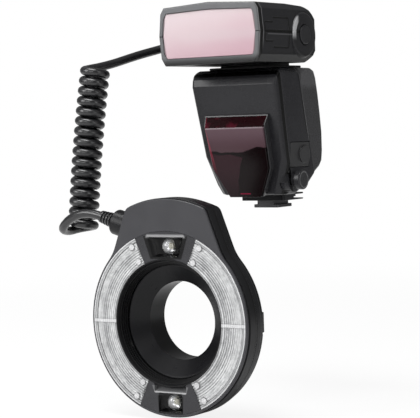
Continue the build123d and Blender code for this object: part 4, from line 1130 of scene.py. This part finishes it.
@dataclass
class TiltHead(SubAssembly):
    """The tilting head with its diffuser, ears, and the neck that carries it."""

    ear_radius: float = 0.0140
    ear_face_x: float = 0.0375
    ear_root_x: float = 0.0355
    ear_round: float = 0.0013
    button_hole: float = 0.0064
    axle_hole: float = 0.0084
    hole_edge: float = 0.0003
    ear_foot: float = 0.0006
    arc_steps: int = 5

    def ear(self, name: str, side: int, hole: float) -> None:
        """Raised round ear about the tilt axis.

        Args:
            name: The piece's name.
            side: 1 on the right and -1 on the left.
            hole: Radius of its middle opening.
        """
        rise = self.ear_face_x - self.ear_root_x
        profile = [(hole, 0.0), (hole, rise - self.hole_edge), (hole + self.hole_edge, rise)]
        for step in range(self.arc_steps + 1):
            turn = TURN / 4 * (1 - step / self.arc_steps)
            out, up = (self.ear_round * (part - 1) for part in (math.cos(turn), math.sin(turn)))
            profile.append((self.ear_radius + out, rise + up))
        profile.append((self.ear_radius + self.ear_foot, 0.0))
        centre = Vector((side * self.ear_root_x, PIVOT_Y, PIVOT_Z))
        piece = spun_piece(name, profile, centre, Vector((side, 0.0, 0.0)))
        self.add(piece, "head_plastic", "head", "black_plastic")

    def make_pieces(self) -> None:
        """Add the ears."""
        self.ear("ear_right", 1, self.button_hole)
        self.ear("ear_left", -1, self.axle_hole)


@dataclass
class Controller(SubAssembly):
    """The controller: shells, window, display, buttons, doors and insides."""

    shaft_core: float = 0.0004
    shaft_radius: float = 0.0040
    shaft_length: float = 0.0040
    shaft_seat: float = 0.0004

    def make_pieces(self) -> None:
        """Add the shaft that joins the shoe's release knob to its collar."""
        low, high = (Vector(corner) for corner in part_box("shoe_release_button"))
        root = Vector((low.x + self.shaft_seat, (low.y + high.y) / 2, (low.z + high.z) / 2))
        core, edge, end = self.shaft_core, self.shaft_radius, self.shaft_length
        profile = [(core, 0.0), (edge, 0.0), (edge, end), (core, end)]
        inward = Vector((-1.0, 0.0, 0.0))
        shaft = spun_piece("release_knob_shaft", profile, root, inward, SMALL_STEPS)
        self.add(shaft, "knob_plastic", "shoe_release", "black_plastic")


@dataclass
class ShoeFoot(SubAssembly):
    """The hot-shoe foot with its lock lever, pin and contacts."""


@dataclass(frozen=True)
class SoftBox:
    """One rectangular lamp: where it stands, its width and height, and its watts."""

    name: str
    place: Point
    size: Pair
    power: float


@dataclass(frozen=True)
class Studio:
    """White studio: camera, soft lights, floor and backdrop."""

    eye: Point = (0.5851, -0.9425, 0.0578)
    azimuth: float = 33.942
    elevation: float = 2.991
    roll: float = -1.904
    focal_px: float = 1714.6
    image_width: float = 420.0
    sensor: float = 36.0
    floor_z: float = -0.1195
    floor_half: float = 6.0
    floor_fade: Pair = (0.25, 1.0)  # the floor turns white between these radii
    floor_white: float = 0.86  # how much of the white the camera sees in the middle
    room_strength: float = 0.24
    aim: Point = (0.0, -0.05, 0.0)
    boxes: tuple[SoftBox, ...] = (
        SoftBox("top_box", (-0.1, -0.45, 1.3), (1.0, 0.5), 17.0),
        SoftBox("left_box", (-0.95, -1.25, 0.72), (0.7, 0.9), 15.0),
        SoftBox("front_box", (0.2, -1.9, 0.7), (1.0, 0.4), 8.0),
        SoftBox("right_strip", (1.3, -0.5, 0.5), (0.16, 0.9), 3.0),
    )

    def camera(self) -> None:
        """Place the camera where the photograph was taken."""
        a, e, r = (math.radians(v) for v in (self.azimuth, self.elevation, self.roll))
        back = Vector((math.sin(a) * math.cos(e), -math.cos(a) * math.cos(e), math.sin(e)))
        level = Vector((math.cos(a), math.sin(a), 0.0))
        rise = back.cross(level)
        right = level * math.cos(r) + rise * math.sin(r)
        up = rise * math.cos(r) - level * math.sin(r)
        data = bpy.data.cameras.new("camera")
        data.sensor_width = self.sensor
        data.lens = self.focal_px / self.image_width * self.sensor
        data.clip_start = 0.05
        data.clip_end = 50.0
        camera = link_object("camera", data)
        turn = Matrix((right, up, back)).transposed().to_4x4()
        camera.matrix_world = Matrix.Translation(self.eye) @ turn
        bpy.context.scene.camera = camera

    def lights(self) -> None:
        """Stand the soft boxes round the object and aim them at it."""
        for box in self.boxes:
            data = bpy.data.lights.new(box.name, "AREA")
            data.shape = "RECTANGLE"
            data.size, data.size_y = box.size
            data.energy = box.power
            light = link_object(box.name, data)
            light.location = box.place
            light.rotation_mode = "QUATERNION"
            ray = Vector(self.aim) - Vector(box.place)
            light.rotation_quaternion = ray.to_track_quat("-Z", "Y")

    def floor(self) -> None:
        """Lay the pale floor that keeps the object's shadow, nearly white to the camera."""
        graph = Graph("pale_floor")
        colour = graph.mix(graph.noise(3.0), grey(0.86), grey(0.9))
        diffuse = graph.node("ShaderNodeBsdfDiffuse", {"Color": colour})
        x, y, _ = graph.place()
        away = (x * x + y * y).root().rise(*self.floor_fade)
        seen = graph.node("ShaderNodeLightPath", output="Is Camera Ray")
        seen = seen.at_least(graph.node("ShaderNodeLightPath", output="Is Transmission Ray"))
        share = seen * (away * (1 - self.floor_white) + self.floor_white)
        white = graph.node("ShaderNodeEmission", {"Color": WHITE, "Strength": 1.0})
        mixed = graph.node("ShaderNodeMixShader", {0: share, 1: diffuse, 2: white})
        graph.node("ShaderNodeOutputMaterial", {0: mixed})
        shape = bmesh.new()
        bmesh.ops.create_grid(shape, x_segments=2, y_segments=2, size=self.floor_half)
        bmesh.ops.translate(shape, vec=(0.0, 0.0, self.floor_z), verts=shape.verts)
        floor = new_piece("floor", shape)
        floor.data.materials.append(graph.owner)

    def world(self) -> None:
        """Light the room evenly, white to the camera."""
        graph = Graph("room", world=True)
        bpy.context.scene.world = graph.owner
        dim, white = (
            graph.node("ShaderNodeBackground", {"Color": WHITE, "Strength": strength})
            for strength in (self.room_strength, 1.0)
        )
        seen = graph.node("ShaderNodeLightPath", output="Is Camera Ray")
        mixed = graph.node("ShaderNodeMixShader", {0: seen, 1: dim, 2: white})
        graph.node("ShaderNodeOutputWorld", {0: mixed})

    def build(self) -> None:
        """Set up the view transform, lights, floor and world."""
        bpy.context.scene.view_settings.view_transform = "Standard"
        self.lights()
        self.floor()
        self.world()
        log.info("studio ready")


# Marks are cut into a surface or painted on it. Painted ones come with their colour, in order.
HEAD_CUTS = (
    Groove(Across.SIDE, (-0.0500, 0.1098), (0.0120, 0.0058), 0.0011, 0.0012, (-0.070, -0.0528)),
    Groove(Across.SIDE, (-0.0440, 0.1094), (0.0100, 0.0090), 0.0011, 0.0012, (-0.0520, -0.020)),
    Groove(Across.SIDE, (-0.0420, 0.1101), (0.0193, 0.0009), 0.0, 0.0005),
)
# The light band below the slot, the arc on the ear and the light line behind the bezel seam are painted
# highlights; the dark seam is a joint.
HEAD_PAINT = (
    (Groove(Across.SIDE, (-0.0440, 0.1084), (0.0150, 0.0004), 0.0, 0.0002), grey(0.07, 0.004)),
    (Arc(0.0100, 0.0142, -0.0225, 0.1045), grey(0.42, 0.01)),
    (Seam(-0.0658, 0.0013), grey(0.0005)),
    (Seam(-0.0640, 0.0004, 0.6, above=0.098), grey(0.2, 0.005)),
)
BEZEL_CUTS = (Groove(Across.FRONT, (0.0, 0.1099), (0.0400, 0.00025), 0.0, 0.0001),)
# The dark seam is a joint; the light line on the bezel's front edge is a painted highlight.
BEZEL_PAINT = (
    (Seam(-0.0664, 0.0014), grey(0.0008)),
    (Seam(-0.0681, 0.0003, 0.6, above=0.098), grey(0.3, 0.005)),
)
# The dark seam is a joint; the light line near the front edge is a painted highlight.
RING_PAINT = ((Seam(-0.1137, 0.0005), grey(0.0005)), (Seam(-0.1204, 0.0003, 0.6), grey(0.03, 0.002)))
# The slope and the light lines beside the dark seams are painted highlights; the dark seams are joints.
BODY_PAINT = (
    (Slope(0.0735, 0.0790, 0.0270, -0.0170), grey(0.06, 0.004)),
    (Seam(-0.0207, 0.0015, lean=-0.228), grey(0.0003)),
    (Seam(-0.0189, 0.0003, 0.5, -0.228), grey(0.06, 0.004)),
    (Seam(0.0055, 0.0005, 0.9, -0.3, 0.042, 0.026), grey(0.004)),
    (Seam(0.0066, 0.0004, 0.8, -0.3, 0.042, 0.026), grey(0.07, 0.005)),
)
# Painted shade in the lamp blocks' recesses, and painted highlights on their upper lips.
BLOCK_PAINT = (
    (Bowl(-0.0236, -0.0100, 0.0112, 0.0160), grey(0.0012, 0.0002)),
    (Bowl(-0.0108, -0.0092, 0.0142, 0.0134, 0.0008), grey(0.26, 0.005)),
    (Bowl(-0.1028, -0.0990, 0.0116, 0.0130), grey(0.11, 0.003)),
    (Bowl(-0.1033, -0.1025, 0.0112, 0.0116, 0.0002), grey(0.34, 0.005)),
    (Bowl(-0.1155, -0.1050, 0.0088, 0.0092), grey(0.0012, 0.0002)),
)
DIAL_Z, DIAL_DOT_REACH, DIAL_DOT = 0.0386, 0.00755, 0.0007
DIAL_CUTS = tuple(
    Groove(
        Across.FRONT,
        (DIAL_DOT_REACH * math.cos(TURN * i / 8), DIAL_Z + DIAL_DOT_REACH * math.sin(TURN * i / 8)),
        (DIAL_DOT, DIAL_DOT),
        0.0,
        DIAL_DOT,
    )
    for i in range(8)
)
DOOR_CUTS = tuple(
    Groove(Across.SIDE, (-0.004 + 0.002 * i, 0.035), (0.0005, 0.006), 0.0, 0.0004) for i in range(5)
)
KNOB_CUTS = (Groove(Across.SIDE, (-0.0206, 0.0183), (0.0049, 0.0049), 0.0005, 0.0049),)

FINISHES = (
    MouldedPlastic("body_plastic", grey(0.019, 0.0025), 0.27, painted=BODY_PAINT),
    MouldedPlastic("frame_plastic", grey(0.028, 0.002), 0.22, 2200.0, 0.00002, 0.3),
    # The head's lower chamfer gets painted shade.
    MouldedPlastic(
        "head_plastic", grey(0.015, 0.002), 0.3, 1500.0,
        cuts=HEAD_CUTS, painted=HEAD_PAINT, painted_shade_below=(0.0935, 0.0985), painted_shade_share=0.2,
    ),
    MouldedPlastic("neck_plastic", grey(0.01, 0.001), 0.45),
    # The bezel gets painted shade towards its bottom.
    MouldedPlastic(
        "bezel_grey", (0.105, 0.107, 0.111), 0.3, 2400.0, 0.00001, 0.15,
        cuts=BEZEL_CUTS, painted=BEZEL_PAINT, painted_shade_below=(0.0925, 0.0972), painted_shade_share=0.12,
    ),
    MouldedPlastic("fascia_grey", grey(0.042, 0.004), 0.36, 2400.0, 0.00001, 0.05),
    MouldedPlastic("ring_plastic", grey(0.006, 0.001), 0.34, 2000.0, 0.00003, painted=RING_PAINT),
    MouldedPlastic("block_black", grey(0.03, 0.003), 0.28, 2400.0, 0.00001, 0.1, painted=BLOCK_PAINT),
    MouldedPlastic("liner_black", grey(0.004, 0.0005), 0.5, 2400.0, 0.00002),
    MouldedPlastic("button_plastic", grey(0.02, 0.002), 0.38, 2200.0, 0.00002),
    MouldedPlastic(
        "knob_plastic", grey(0.024, 0.002), 0.28, 2200.0, 0.00002, 0.1, KNOB_CUTS, grey(0.16, 0.005)
    ),
    MouldedPlastic(
        "dial_plastic", grey(0.02, 0.002), 0.36, 2200.0, 0.00002, 0.0, DIAL_CUTS, grey(0.5), 0.0001
    ),
    MouldedPlastic("door_plastic", grey(0.019, 0.0025), 0.27, cuts=DOOR_CUTS),
    SoftRubber("cord_rubber", grey(0.007, 0.001), 0.3),
    SoftRubber("flap_rubber", grey(0.011, 0.001), 0.45),
    Metal("anodised", grey(0.006, 0.001), 0.3, along=1, metallic=0.0, index=1.27),
    Metal("foot_steel", grey(0.07, 0.003), 0.3),
    Metal("screw_steel", grey(0.42, 0.01), 0.28),
    Metal("gold_plate", (0.78, 0.6, 0.3), 0.22),
    Metal("reflector_chrome", grey(0.8, 0.01), 0.16, along=1),
    Metal("cup_chrome", grey(0.62, 0.01), 0.3, along=1),
    RibbedCover("cover_right_clear", 1),
    RibbedCover("cover_left_clear", -1),
    DiffuserPanel("diffuser_pink"),
    RedWindow("window_red"),
    ClearGlass("lens_clear"),
    ClearGlass("tube_glass", (0.93, 0.92, 0.9), 0.08),
    DisplayPane("display"),
    MouldedPlastic("board_green", (0.03, 0.13, 0.06), 0.4, 900.0),
    MouldedPlastic("lamp_chip", (0.55, 0.53, 0.42), 0.3, 1500.0, 0.00001),
    Metal("battery_sleeve", (0.2, 0.22, 0.26), 0.35, metallic=0.6),
)

RING_SKINS = (
    Skin("ring_plastic", "ring_front_shell ring_rear_shell", 0.0003),
    Skin("fascia_grey", "ring_fascia", 0.00015),
    Skin("screw_steel", "ring_screws", 0.0001, "steel"),
    Skin("liner_black", "bore_liner", slot="anodised"),
    Skin("cover_left_clear", "cover_left", slot="clear_cover"),
    Skin("cover_right_clear", "cover_right", slot="clear_cover"),
    Skin("tube_glass", "flash_tube_left flash_tube_right", slot="tube_glass"),
    Skin("reflector_chrome", "reflector_left reflector_right", slot="reflector"),
    Skin("block_black", "lamp_block_top lamp_block_bottom"),
    Skin("lens_clear", "lamp_lens_top lamp_lens_bottom", slot="clear_cover"),
    Skin("board_green", "lamp_board_top lamp_board_bottom", slot="board"),
    Skin("button_plastic", "release_slide_left release_slide_right", 0.0001),
    Skin("anodised", "adapter_ring", 0.00015, "anodised"),
    Skin("ring_plastic", "cord_boss"),
    Skin("cord_rubber", "strain_relief", 0.00015, "rubber"),
)

HEAD_SKINS = (
    Skin("head_plastic", "head_upper_shell head_lower_shell", 0.0003),
    Skin("bezel_grey", "head_bezel", 0.0002, "grey_bezel"),
    Skin("diffuser_pink", "head_panel", 0.0002, "head_panel"),
    Skin("liner_black", "head_chassis"),
    Skin("button_plastic", "head_lock_button"),
    Skin("neck_plastic", "neck", 0.0003),
    Skin("cord_rubber", "cord_gland", slot="rubber"),
)

CONTROLLER_SKINS = (
    Skin("body_plastic", "body_front_shell body_rear_shell"),
    Skin("window_red", "af_window", 0.0003, "red_window"),
    Skin("frame_plastic", "af_window_frame", 0.0002),
    Skin("display", "lcd_window", slot="lcd"),
    Skin("button_plastic", "function_button_1 function_button_2 function_button_3 function_button_4"),
    Skin("dial_plastic", "select_dial"),
    Skin("button_plastic", "set_button test_button power_switch"),
    Skin("door_plastic", "battery_door", 0.0002),
    Skin("flap_rubber", "terminal_cover", 0.0003, "rubber"),
    Skin("liner_black", "battery_tray"),
    Skin("battery_sleeve", "batteries", 0.0003, "battery"),
    Skin("board_green", "main_board", slot="board"),
    Skin("knob_plastic", "shoe_release_button", 0.0002),
)

FOOT_SKINS = (
    Skin("ring_plastic", "shoe_base", 0.0003),
    Skin("foot_steel", "shoe_foot", 0.0002, "steel"),
    Skin("gold_plate", "shoe_contacts", slot="gold"),
    Skin("button_plastic", "shoe_lock_lever", 0.0003),
    Skin("screw_steel", "shoe_lock_pin", slot="steel"),
)


def main() -> None:
    """Build the scene in order."""
    logging.basicConfig(level=logging.INFO, format="%(name)s: %(message)s")
    studio = Studio()
    studio.camera()
    wardrobe = Wardrobe(FINISHES)
    CurlyCord(wardrobe).build()
    LampRing(wardrobe, RING_SKINS).build()
    TiltHead(wardrobe, HEAD_SKINS).build()
    Controller(wardrobe, CONTROLLER_SKINS).build()
    ShoeFoot(wardrobe, FOOT_SKINS).build()
    studio.build()


if __name__ == "__main__":
    main()
